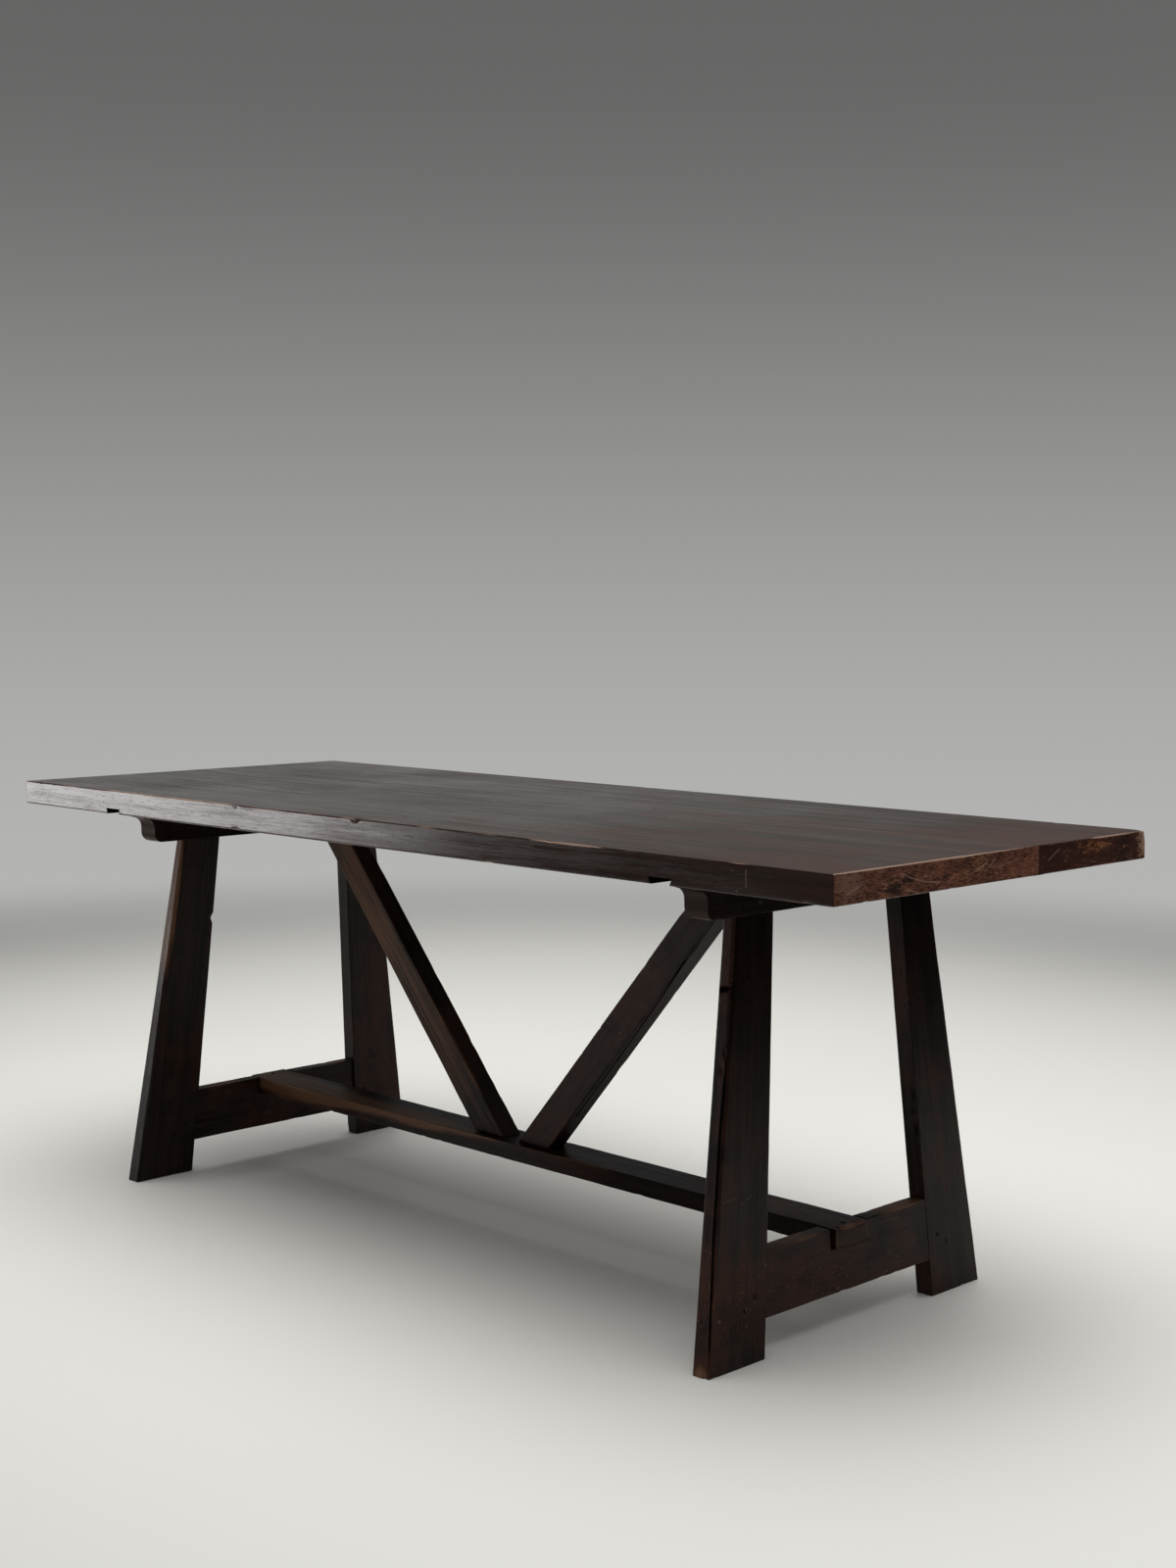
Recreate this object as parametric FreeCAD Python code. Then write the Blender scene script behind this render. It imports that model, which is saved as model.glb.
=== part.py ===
import FreeCAD, Part
import math
import os

# Refectory table: a top of two planks, held on two raked trestles by sliding dovetails,
# with a long flat stretcher low down and a V of two braces from its middle to the top.
# Origin on the floor under the middle of the top. +X runs along the table, +Y towards its
# back edge, +Z up. Millimetres.

# Top
table_height = 760.0
top_length = 2034.0
top_width = 762.0
top_thickness = 44.0
rear_board_width = 291.0

# Dowels in the joint between the two planks
dowel_count = 7
dowel_diameter = 12.0
dowel_length = 80.0
dowel_end_margin = 110.0

# Bearers: cross battens under the top, with a round, a cove and a lip at each end
bearer_thickness = 46.0
bearer_end_inset = 312.5
bearer_edge_inset = 56.0
bearer_lip = 11.0
bearer_cove_radius = 20.0
bearer_flat = 10.0
bearer_round_radius = 17.0
dovetail_depth = 10.0
dovetail_flare = 4.5

# Legs: tapered boards that spread along Y and rake out along X
leg_thickness = 31.0
leg_top_width = 81.0
leg_foot_width = 126.0
leg_spread = 97.0
leg_rake = 35.0
leg_bearer_overhang = 54.0
leg_top_chamfer = 7.0
leg_foot_chamfer = 2.0
leg_tenon_thickness = 16.0
leg_tenon_height = 38.0
leg_tenon_shoulder = 12.0
bearer_peg_diameter = 10.0

# Cross stretchers: rails between the legs of each trestle
cross_height = 100.0
cross_floor_gap = 60.0
cross_thickness = 26.0
cross_tenon_thickness = 12.0
cross_tenon_shoulder = 12.0
cross_tenon_length = 70.0
rail_peg_diameter = 8.0
near_peg_run = 26.0
near_peg_rise = 37.0
far_peg_run = 48.0
far_peg_rise = 21.0

# Long stretcher: a flat board let into the top edge of both cross stretchers
stretcher_width = 80.0
stretcher_thickness = 30.0
stretcher_proud = 6.0
notch_play = 1.5
lap_peg_diameter = 10.0
lap_peg_bite = 34.0

# Braces and the nails through their heads
brace_thickness = 40.0
brace_depth = 58.0
brace_foot_gap = 36.0
brace_bearer_gap = 100.0
brace_tenon_thickness = 16.0
brace_tenon_depth = 20.0
brace_tenon_shoulder = 12.0
nail_diameter = 5.0
nail_length = 64.0
nail_head_width = 12.0
nail_head_height = 4.0
nail_pitch = 18.0
nail_toe_inset = 20.0

# Room left in the joints: beside a tenon or peg, and at the blind end of a hole
fit = 0.2
end_room = 1.0

# Heights that follow from the sizes above
top_underside = table_height - top_thickness
bearer_height = bearer_lip + bearer_cove_radius + bearer_flat + bearer_round_radius
leg_top = top_underside - bearer_height
cross_top = cross_floor_gap + cross_height
stretcher_bottom = cross_top - stretcher_thickness

# Places along X and Y, on the right and rear side
bearer_x = top_length / 2 - bearer_end_inset
bearer_tip_y = top_width / 2 - bearer_edge_inset
bearer_foot_y = bearer_tip_y - bearer_cove_radius - bearer_round_radius
leg_top_outer_y = bearer_foot_y - leg_bearer_overhang
leg_top_inner_y = leg_top_outer_y - leg_top_width
leg_foot_outer_y = leg_top_outer_y + leg_spread
leg_foot_inner_y = leg_foot_outer_y - leg_foot_width
leg_tenon_y = (leg_top_outer_y + leg_top_inner_y) / 2
seam_y = top_width / 2 - rear_board_width
dowel_z = top_underside + (dovetail_depth + top_thickness) / 2

ORIGIN = FreeCAD.Vector(0, 0, 0)
X_AXIS = FreeCAD.Vector(1, 0, 0)
Y_AXIS = FreeCAD.Vector(0, 1, 0)
Z_AXIS = FreeCAD.Vector(0, 0, 1)
LEFT = -1
RIGHT = 1
FRONT = -1
REAR = 1


def down_the_leg(z):
    """Share of the way from the leg's top, 0, to the floor, 1."""
    return (leg_top - z) / leg_top


def leg_outer_x(z):
    """Outer face of the right legs at a height."""
    return bearer_x + leg_thickness / 2 + leg_rake * down_the_leg(z)


def leg_inner_y(z):
    """Edge of a rear leg that faces the middle of the table, at a height."""
    return leg_top_inner_y + (leg_foot_inner_y - leg_top_inner_y) * down_the_leg(z)


def leg_outer_y(z):
    """Edge of a rear leg that faces the long edge of the table, at a height."""
    return leg_top_outer_y + leg_spread * down_the_leg(z)


def box(x_range, y_range, z_range):
    """Upright block between two limits on each axis."""
    corner = FreeCAD.Vector(x_range[0], y_range[0], z_range[0])
    sizes = [limits[1] - limits[0] for limits in (x_range, y_range, z_range)]
    return Part.makeBox(sizes[0], sizes[1], sizes[2], corner)


def rod(diameter, start, direction, length):
    """Round rod from a point along a direction."""
    return Part.makeCylinder(diameter / 2, length, start, direction)


def flat_face(points):
    """Flat face inside a closed outline."""
    return Part.Face(Part.makePolygon(list(points) + [points[0]]))


def solid_between(low, high):
    """Solid with flat sides from one outline to another that has as many points."""
    count = len(low)
    sides = []
    for i in range(count):
        j = (i + 1) % count
        sides.append(flat_face([low[i], low[j], high[j], high[i]]))
    shell = Part.Shell([flat_face(low), flat_face(high)] + sides)
    solid = Part.Solid(shell)
    if solid.Volume < 0:
        solid.reverse()
    return solid


def on_side(shape, side_x, side_y=REAR):
    """Carry a shape made for the right rear quarter to the quarter it belongs in."""
    if side_x == LEFT:
        shape = shape.mirror(ORIGIN, X_AXIS)
    if side_y == FRONT:
        shape = shape.mirror(ORIGIN, Y_AXIS)
    return shape


def one_solid(shape):
    """The single solid of a shape, with its seams cleaned away."""
    return shape.removeSplitter().Solids[0]


def dovetail(depth, room, y_limit):
    """Dovetail prism across the table over the right bearer, from the underside upwards.

    A groove takes room on each side and starts below the underside, so that it cuts clean.
    """
    mouth = bearer_thickness / 2 - dovetail_flare + room
    slope = dovetail_flare / dovetail_depth
    start = -room
    outline = []
    for side, rise in ((-1, start), (-1, depth), (1, depth), (1, start)):
        half = mouth + slope * rise
        outline.append(FreeCAD.Vector(bearer_x + side * half, -y_limit, top_underside + rise))
    return flat_face(outline).extrude(Y_AXIS * (2 * y_limit))


def bearer_end_edges():
    """Edges of a bearer's rear end, from the underside round and up to the top of the lip."""
    bow = math.sqrt(0.5)
    round_y = bearer_foot_y
    round_z = leg_top + bearer_round_radius
    flat_y = round_y + bearer_round_radius
    cove_z = round_z + bearer_flat
    lip_z = cove_z + bearer_cove_radius
    round_start = FreeCAD.Vector(bearer_x, round_y, leg_top)
    round_middle = FreeCAD.Vector(
        bearer_x, round_y + bearer_round_radius * bow, round_z - bearer_round_radius * bow)
    round_end = FreeCAD.Vector(bearer_x, flat_y, round_z)
    cove_start = FreeCAD.Vector(bearer_x, flat_y, cove_z)
    cove_middle = FreeCAD.Vector(
        bearer_x, bearer_tip_y - bearer_cove_radius * bow, cove_z + bearer_cove_radius * bow)
    cove_end = FreeCAD.Vector(bearer_x, bearer_tip_y, lip_z)
    lip_end = FreeCAD.Vector(bearer_x, bearer_tip_y, top_underside)
    return [
        Part.Arc(round_start, round_middle, round_end).toShape(),
        Part.makeLine(round_end, cove_start),
        Part.Arc(cove_start, cove_middle, cove_end).toShape(),
        Part.makeLine(cove_end, lip_end),
    ]


def leg_tenon(room, height):
    """Upright tenon on top of the right rear leg, or its mortise with room around it."""
    half_x = leg_tenon_thickness / 2 + room
    half_y = leg_top_width / 2 - leg_tenon_shoulder + room
    return box(
        (bearer_x - half_x, bearer_x + half_x),
        (leg_tenon_y - half_y, leg_tenon_y + half_y),
        (leg_top, leg_top + height))


def bearer_peg(diameter):
    """Peg through the right bearer and the rear leg's tenon."""
    start = FreeCAD.Vector(
        bearer_x - bearer_thickness / 2, leg_tenon_y, leg_top + leg_tenon_height / 2)
    return rod(diameter, start, X_AXIS, bearer_thickness)


def make_bearer():
    """Right bearer with its ogee ends, dovetail tongue, leg mortises and peg holes."""
    rear_end = bearer_end_edges()
    front_end = [edge.mirror(ORIGIN, Y_AXIS) for edge in rear_end]
    bottom = Part.makeLine(
        FreeCAD.Vector(bearer_x, -bearer_foot_y, leg_top),
        FreeCAD.Vector(bearer_x, bearer_foot_y, leg_top))
    top = Part.makeLine(
        FreeCAD.Vector(bearer_x, -bearer_tip_y, top_underside),
        FreeCAD.Vector(bearer_x, bearer_tip_y, top_underside))
    edges = Part.__sortEdges__([bottom, top] + rear_end + front_end)
    profile = Part.Face(Part.Wire(edges))
    profile.translate(X_AXIS * (-bearer_thickness / 2))
    body = profile.extrude(X_AXIS * bearer_thickness)
    body = body.fuse(dovetail(dovetail_depth, 0.0, bearer_tip_y))
    for side_y in (FRONT, REAR):
        body = body.cut(on_side(leg_tenon(fit, leg_tenon_height + end_room), RIGHT, side_y))
        body = body.cut(on_side(bearer_peg(bearer_peg_diameter + 2 * fit), RIGHT, side_y))
    return one_solid(body)


def leg_outline(z, chamfer):
    """Outline of the right rear leg at a height, its two outer corners taken off."""
    outer_x = leg_outer_x(z)
    inner_x = outer_x - leg_thickness
    outer_y = leg_outer_y(z)
    inner_y = leg_inner_y(z)
    corners = [
        (inner_x, inner_y),
        (outer_x, inner_y),
        (outer_x, outer_y - chamfer),
        (outer_x - chamfer, outer_y),
        (inner_x + chamfer, outer_y),
        (inner_x, outer_y - chamfer),
    ]
    return [FreeCAD.Vector(x, y, z) for x, y in corners]


def rail_block(x_inset, thickness, z_range, y_start, y_end):
    """Block in the raked plane of the right trestle, measured inwards from its outer face.

    y_start and y_end give the two ends of the block at a height.
    """
    outlines = []
    for z in z_range:
        outer = leg_outer_x(z) - x_inset
        inner = outer - thickness
        corners = [(inner, y_start(z)), (outer, y_start(z)), (outer, y_end(z)), (inner, y_end(z))]
        outlines.append([FreeCAD.Vector(x, y, z) for x, y in corners])
    return solid_between(outlines[0], outlines[1])


def cross_tenon(room, length):
    """Tenon of the right cross stretcher in the rear leg, or its mortise with room around it."""
    return rail_block(
        (cross_thickness - cross_tenon_thickness) / 2 - room,
        cross_tenon_thickness + 2 * room,
        (cross_floor_gap + cross_tenon_shoulder - room, cross_top - cross_tenon_shoulder + room),
        leg_inner_y,
        lambda z: leg_inner_y(z) + length)


def rail_pegs(diameter):
    """The two pegs through the right rear leg and the tenon in it, cut level with its faces."""
    leg_slab = rail_block(0.0, leg_thickness, (0.0, leg_top), leg_inner_y, leg_outer_y)
    pegs = []
    for run, rise in ((near_peg_run, near_peg_rise), (far_peg_run, far_peg_rise)):
        z = cross_floor_gap + rise
        start = FreeCAD.Vector(leg_outer_x(leg_top) - leg_thickness, leg_inner_y(z) + run, z)
        pegs.append(rod(diameter, start, X_AXIS, leg_thickness + leg_rake).common(leg_slab))
    return pegs


def make_leg():
    """Right rear leg with its tenon, its mortise for the cross stretcher and its peg holes."""
    body = solid_between(leg_outline(0.0, leg_foot_chamfer), leg_outline(leg_top, leg_top_chamfer))
    body = body.fuse(leg_tenon(0.0, leg_tenon_height))
    body = body.cut(bearer_peg(bearer_peg_diameter + 2 * fit))
    body = body.cut(cross_tenon(fit, cross_tenon_length + end_room))
    for hole in rail_pegs(rail_peg_diameter + 2 * fit):
        body = body.cut(hole)
    return one_solid(body)


def lap_peg(diameter, length):
    """Upright peg down through the right end of the long stretcher into the cross stretcher."""
    x = leg_outer_x(stretcher_bottom) - cross_thickness / 2
    return rod(diameter, FreeCAD.Vector(x, 0, cross_top), -Z_AXIS, length)


def make_cross_stretcher():
    """Right cross stretcher with its tenons, its notch for the long stretcher and its peg holes."""
    body = rail_block(
        0.0, cross_thickness, (cross_floor_gap, cross_top),
        lambda z: -leg_inner_y(z), leg_inner_y)
    for side_y in (FRONT, REAR):
        body = body.fuse(on_side(cross_tenon(0.0, cross_tenon_length), RIGHT, side_y))
        for hole in rail_pegs(rail_peg_diameter + 2 * fit):
            body = body.cut(on_side(hole, RIGHT, side_y))
    notch_half = stretcher_width / 2 + notch_play
    notch = box(
        (bearer_x, leg_outer_x(0.0)), (-notch_half, notch_half),
        (stretcher_bottom, cross_top + stretcher_thickness))
    body = body.cut(notch)
    hole_length = stretcher_thickness + lap_peg_bite + end_room
    body = body.cut(lap_peg(lap_peg_diameter + 2 * fit, hole_length))
    return one_solid(body)


def brace_toe():
    """Lower corner of the right brace's head, on the underside of the top."""
    toe_x = bearer_x - bearer_thickness / 2 - brace_bearer_gap
    return FreeCAD.Vector(toe_x, 0, top_underside)


def brace_slope():
    """Angle of the right brace above the floor.

    Its upper edge starts at the inner corner of the foot and its lower edge ends at the toe of
    the head, and the two edges are brace_depth apart, which settles the angle.
    """
    across = brace_toe() - FreeCAD.Vector(brace_foot_gap / 2, 0, cross_top)
    return math.atan2(across.z, across.x) + math.asin(brace_depth / across.Length)


def brace_foot_x():
    """Where the right brace's foot starts and ends along the long stretcher."""
    start = brace_foot_gap / 2
    return start, start + brace_depth / math.sin(brace_slope())


def brace_tenon(room, depth):
    """Stub tenon under the right brace's foot, or its mortise with room around it."""
    foot_start, foot_end = brace_foot_x()
    half_y = brace_tenon_thickness / 2 + room
    return box(
        (foot_start + brace_tenon_shoulder - room, foot_end - brace_tenon_shoulder + room),
        (-half_y, half_y),
        (cross_top - depth, cross_top))


def brace_nails(shank, length, with_head):
    """The two nails through the right brace's head, square to its lower face."""
    slope = brace_slope()
    drive = FreeCAD.Vector(-math.sin(slope), 0, math.cos(slope))
    along = FreeCAD.Vector(math.cos(slope), 0, math.sin(slope))
    seat = brace_toe() - along * nail_toe_inset
    nails = []
    for side in (-1, 1):
        start = seat + Y_AXIS * (side * nail_pitch / 2)
        nail = rod(shank, start, drive, length)
        if with_head:
            head = Part.makeCone(
                nail_head_width / 2, nail_diameter / 2, nail_head_height, start, -drive)
            nail = nail.fuse(head)
        nails.append(nail)
    return nails


def make_brace():
    """Right brace with its foot tenon and the nail holes in its head."""
    foot_start, foot_end = brace_foot_x()
    toe = brace_toe()
    outline = [
        (foot_start, cross_top), (foot_end, cross_top),
        (toe.x, toe.z), (toe.x - (foot_end - foot_start), toe.z),
    ]
    front_y = -brace_thickness / 2
    corners = [FreeCAD.Vector(x, front_y, z) for x, z in outline]
    body = flat_face(corners).extrude(Y_AXIS * brace_thickness)
    body = body.fuse(brace_tenon(0.0, brace_tenon_depth))
    for hole in brace_nails(nail_diameter + 2 * fit, nail_length + end_room, False):
        body = body.cut(hole)
    return one_solid(body)


def make_long_stretcher():
    """Long stretcher with the mortises for the brace feet and the peg holes in its ends."""
    half_length = leg_outer_x((stretcher_bottom + cross_top) / 2) + stretcher_proud
    half_width = stretcher_width / 2
    body = box(
        (-half_length, half_length), (-half_width, half_width), (stretcher_bottom, cross_top))
    for side_x in (LEFT, RIGHT):
        body = body.cut(on_side(brace_tenon(fit, brace_tenon_depth + end_room), side_x))
        body = body.cut(on_side(lap_peg(lap_peg_diameter + 2 * fit, stretcher_thickness), side_x))
    return one_solid(body)


def top_dowels(diameter, length):
    """Dowels across the joint between the planks, evenly spaced along it."""
    first = -top_length / 2 + dowel_end_margin
    step = (top_length - 2 * dowel_end_margin) / (dowel_count - 1)
    dowels = []
    for i in range(dowel_count):
        start = FreeCAD.Vector(first + i * step, seam_y - length / 2, dowel_z)
        dowels.append(rod(diameter, start, Y_AXIS, length))
    return dowels


def make_board(y_range):
    """Plank of the top with the dovetail grooves, dowel holes and nail holes in it."""
    body = box((-top_length / 2, top_length / 2), y_range, (top_underside, table_height))
    for side_x in (LEFT, RIGHT):
        body = body.cut(on_side(dovetail(dovetail_depth + end_room, fit, top_width), side_x))
        for hole in brace_nails(nail_diameter + 2 * fit, nail_length + end_room, False):
            body = body.cut(on_side(hole, side_x))
    for hole in top_dowels(dowel_diameter + 2 * fit, dowel_length + 2 * end_room):
        body = body.cut(hole)
    return one_solid(body)


def group(shapes):
    """Several separate solids kept together under one name."""
    return Part.makeCompound(shapes)


def table_parts():
    """Every piece of the table by its name."""
    parts = {
        "front_top_board": make_board((-top_width / 2, seam_y)),
        "rear_top_board": make_board((seam_y, top_width / 2)),
        "top_dowels": group(top_dowels(dowel_diameter, dowel_length)),
        "long_stretcher": make_long_stretcher(),
    }
    bearer = make_bearer()
    leg = make_leg()
    cross_stretcher = make_cross_stretcher()
    brace = make_brace()
    for side_x, side in ((LEFT, "left"), (RIGHT, "right")):
        parts[side + "_bearer"] = on_side(bearer, side_x)
        parts[side + "_cross_stretcher"] = on_side(cross_stretcher, side_x)
        parts[side + "_brace"] = on_side(brace, side_x)
        bearer_pegs = []
        leg_pegs = []
        for side_y, end in ((FRONT, "front"), (REAR, "rear")):
            parts[end + "_" + side + "_leg"] = on_side(leg, side_x, side_y)
            bearer_pegs.append(on_side(bearer_peg(bearer_peg_diameter), side_x, side_y))
            for peg in rail_pegs(rail_peg_diameter):
                leg_pegs.append(on_side(peg, side_x, side_y))
        parts[side + "_bearer_pegs"] = group(bearer_pegs)
        parts[side + "_rail_pegs"] = group(leg_pegs)
        parts[side + "_lap_peg"] = on_side(
            lap_peg(lap_peg_diameter, stretcher_thickness + lap_peg_bite), side_x)
        nails = [on_side(nail, side_x) for nail in brace_nails(nail_diameter, nail_length, True)]
        parts[side + "_brace_nails"] = group(nails)
    return parts


os.makedirs("parts", exist_ok=True)
for name, shape in table_parts().items():
    shape.exportStep("parts/" + name + ".step")
    print(name, len(shape.Solids), round(shape.Volume), shape.isValid())
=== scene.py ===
# %% [markdown]
# # A dark refectory table
#
# A plank top on two raked trestles, tied by a low stretcher and two diagonal braces. The solids
# already hold every joint and size. This lesson gives each timber a skin that looks handled: eased
# arrises, dents, a little unevenness from the plane, and a stained, waxed finish whose grain runs
# along the piece. The solids are loaded first, because every skin is fitted to the box of its own.

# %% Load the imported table
from functools import partial
from math import pi, radians

import bpy
import numpy as np
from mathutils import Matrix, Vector


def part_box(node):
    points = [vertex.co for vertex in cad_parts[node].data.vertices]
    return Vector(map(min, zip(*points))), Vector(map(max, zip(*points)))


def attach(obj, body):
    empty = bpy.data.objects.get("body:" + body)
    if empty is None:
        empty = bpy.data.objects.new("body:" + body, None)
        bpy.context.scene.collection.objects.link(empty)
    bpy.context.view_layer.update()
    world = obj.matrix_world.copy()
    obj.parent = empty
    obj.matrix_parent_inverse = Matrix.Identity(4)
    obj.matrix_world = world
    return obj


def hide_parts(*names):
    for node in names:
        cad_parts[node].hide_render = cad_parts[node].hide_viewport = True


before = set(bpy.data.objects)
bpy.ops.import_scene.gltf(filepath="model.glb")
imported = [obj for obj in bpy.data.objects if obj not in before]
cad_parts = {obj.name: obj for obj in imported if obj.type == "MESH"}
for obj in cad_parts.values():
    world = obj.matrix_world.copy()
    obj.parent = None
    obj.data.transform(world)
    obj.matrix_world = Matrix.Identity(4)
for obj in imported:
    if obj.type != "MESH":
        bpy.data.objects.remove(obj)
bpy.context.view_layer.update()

# %% [markdown]
# ## The camera
#
# A camera is its place, the way it looks and its lens. These values were fitted to the corners of
# the table, so that the model falls on the same spots of the picture. The lens follows from the
# focal length in pixels, because the picture's long side is the sensor's 36 mm side.

# %% Camera
CAMERA_PLACE = (2.77434, -2.55841, 1.11554)
CAMERA_TURN = 45.464
CAMERA_DIP = 4.893
FOCAL_PIXELS = 2197.99
PICTURE_HEIGHT = 1600
SENSOR = 36


def new_object(name, data):
    """An object with that data, linked into the scene."""
    made = bpy.data.objects.new(name, data)
    bpy.context.scene.collection.objects.link(made)
    return made


lens = bpy.data.cameras.new("studio_camera")
lens.sensor_width = SENSOR
lens.lens = FOCAL_PIXELS * SENSOR / PICTURE_HEIGHT
viewer = new_object("studio_camera", lens)
viewer.location = CAMERA_PLACE
viewer.rotation_euler = (radians(90 - CAMERA_DIP), 0, radians(CAMERA_TURN))
bpy.context.scene.camera = viewer
print("lens in mm:", round(lens.lens, 2))

# %% [markdown]
# ## Unevenness
#
# Hand-planed timber is never quite flat, and its edges wear unevenly. Both need a smooth random
# field that is the same each run. A Displace modifier could do it, but a few lines of numpy give one
# field to the shape and to the wear mask.

# %% Smooth noise
LATTICE_SIZE = 4096
LATTICE = np.random.default_rng(1650).uniform(-1, 1, LATTICE_SIZE)
HASH = (73856093, 19349663, 83492791, 40503)


def ripple(points, size, seed):
    """Smooth noise from -1 to 1: random heights at the corners of a lattice with cells of that size,
    blended across each cell by a smoothstep."""
    scaled = points / np.asarray(size, float)
    cell = np.floor(scaled).astype(np.int64)
    part = scaled - cell
    part = part * part * (3 - 2 * part)
    total = np.zeros(len(points))
    for corner in np.ndindex(2, 2, 2):
        at = cell + np.array(corner)
        key = at[:, 0] * HASH[0] ^ at[:, 1] * HASH[1] ^ at[:, 2] * HASH[2] ^ (seed * HASH[3])
        weight = np.where(np.array(corner) == 1, part, 1 - part).prod(axis=1)
        total += weight * LATTICE[key & (LATTICE_SIZE - 1)]
    return total


print("noise test:", ripple(np.array([[0.1, 0.2, 0.3]]), 0.05, 3).round(4))

# %% [markdown]
# ## Grids that make a skin
#
# Every timber is a block with something done to it. A cube with a Bevel modifier has no points for
# dents and wear to move. So each face is a grid, with close rows near its edges to carry the
# rounding, and faces that share an edge are welded.

# %% Face grids and welding
ARRIS_ROWS = np.array([0, 0.2, 0.45, 0.75, 1.1, 1.8])
ROW_RADIUS = 0.0025
WELD_GRID = 1e5


def stations(low, high, step, arris):
    """Places from low to high: close rows at both ends, as multiples of the arris radius, and even
    steps between."""
    near = arris * ARRIS_ROWS
    count = max(2, int(round((high - low) / step)))
    middle = np.linspace(low + near[-1], high - near[-1], count)
    return np.concatenate([low + near[:-1], middle, high - near[-2::-1]])


def face(axis, at, first, second, outward):
    """A flat grid: one coordinate is held, the next two run over two rows of stations."""
    grid = np.empty((len(first), len(second), 3))
    grid[..., axis] = at
    grid[..., (axis + 1) % 3] = first[:, None]
    grid[..., (axis + 2) % 3] = second[None, :]
    return grid if outward > 0 else grid[::-1]


def block(lines):
    """The six faces of a block, from its stations along x, y and z."""
    faces = []
    for axis in range(3):
        first, second = lines[(axis + 1) % 3], lines[(axis + 2) % 3]
        faces.append(face(axis, lines[axis][0], first, second, -1))
        faces.append(face(axis, lines[axis][-1], first, second, 1))
    return faces


def weld(grids):
    """One skin: points at the same hundredth of a millimetre become one, and each cell a face."""
    points = np.concatenate([grid.reshape(-1, 3) for grid in grids])
    keys = np.round(points * WELD_GRID).astype(np.int64)
    _, first, index = np.unique(keys, axis=0, return_index=True, return_inverse=True)
    index = index.reshape(-1)
    quads = []
    start = 0
    for grid in grids:
        rows, columns = grid.shape[:2]
        own = index[start:start + rows * columns].reshape(rows, columns)
        start += rows * columns
        cells = (own[:-1, :-1], own[1:, :-1], own[1:, 1:], own[:-1, 1:])
        quads.append(np.stack(cells, axis=-1).reshape(-1, 4))
    return points[first], np.concatenate(quads)


test_points, test_quads = weld(block([stations(0, 0.1, 0.01, 0.002)] * 3))
print("test block:", len(test_points), "points,", len(test_quads), "faces")

# %% [markdown]
# ## Wear
#
# On an old table the arrises round off unevenly, the edges collect bites and dents, and flat faces
# keep the waves of the plane. A modifier would treat every edge alike, so each kind of wear is a
# formula on the whole array of points.

# %% Arrises, dents and bites
TINY = 1e-12
ON_SKIN = 0.999
BITE_REACH = (0.0025, 0.006)
BITE_STRETCH = (1.2, 3.5)
BITE_DEPTH = (0.0003, 0.0011)
FULL_BITE = 0.0012


def ease(points, low, high, radius):
    """Rounds a block's edges: each point goes to the radius from the nearest place of a core that is
    smaller by the radius."""
    core = np.clip(points, low + radius, high - radius)
    away = points - core
    reach = np.linalg.norm(away, axis=1, keepdims=True)
    eased = core + radius * away / np.maximum(reach, TINY)
    return np.where(reach > radius * ON_SKIN, eased, points)


def arris_distance(points, low, high):
    """Distance to the nearest edge: the second smallest of those to the six planes."""
    gaps = np.concatenate([points - low, high - points], axis=1)
    return np.partition(np.abs(gaps), 1, axis=1)[:, 1]


def dent(points, centre, reach, push):
    """A point within reach of the centre moves by the push times the square of one minus its squared
    distance, so that the rim is smooth."""
    far = (((points - np.asarray(centre)) / np.asarray(reach)) ** 2).sum(axis=1)
    return (np.clip(1 - far, 0, 1) ** 2)[:, None] * np.asarray(push)


def edge_bites(points, low, high, count, seed):
    """Bites at random places along a block's edges, towards its middle, and how bitten points are."""
    draw = np.random.default_rng(seed)
    moves = np.zeros_like(points)
    for _ in range(count):
        along = draw.choice(3, p=(high - low) / (high - low).sum())
        side = draw.integers(0, 2, 3)
        centre = np.where(side == 1, high, low)
        centre[along] = draw.uniform(low[along], high[along])
        inward = np.where(side == 1, -1, 1)
        inward[along] = 0
        reach = np.full(3, draw.uniform(*BITE_REACH))
        reach[along] *= draw.uniform(*BITE_STRETCH)
        moves += dent(points, centre, reach, inward * draw.uniform(*BITE_DEPTH))
    return moves, np.clip(np.linalg.norm(moves, axis=1) / FULL_BITE, 0, 1)


print("bites are up to", BITE_DEPTH[1], "m deep")

# %% Which way the faces look


def face_crosses(points, quads):
    """The cross product of each face's diagonals, which points along its normal."""
    return np.cross(points[quads[:, 2]] - points[quads[:, 0]], points[quads[:, 3]] - points[quads[:, 1]])


def skin_normals(points, quads):
    """Unit normals: the faces' cross products, summed at their corners."""
    cross = face_crosses(points, quads)
    total = np.zeros_like(points)
    for corner in range(4):
        np.add.at(total, quads[:, corner], cross)
    return total / np.maximum(np.linalg.norm(total, axis=1, keepdims=True), TINY)


def outward(points, quads):
    """Turns the faces round if their volume, the sum of middle dot normal, is negative."""
    volume = (points[quads].mean(axis=1) * face_crosses(points, quads)).sum() / 6
    return (quads if volume > 0 else quads[:, ::-1]), abs(volume)


print("litres in the test block:", round(outward(test_points, test_quads)[1] * 1000, 3))

# %% [markdown]
# ## From arrays to a piece
#
# Stain follows the tree: a face shows streaks and a sawn end speckle. So a piece also carries where
# each point lies along, across and through the grain, how far it faces along it, how pale it is from
# wear and painted highlights, and how dark from dirt and painted shade. Texture coordinates could
# hold some of that. Point attributes hold it all, and they follow a raked leg as its grain does.

# %% Put a skin into the scene
SHARP_ANGLE = radians(38)
pieces = {}


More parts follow.
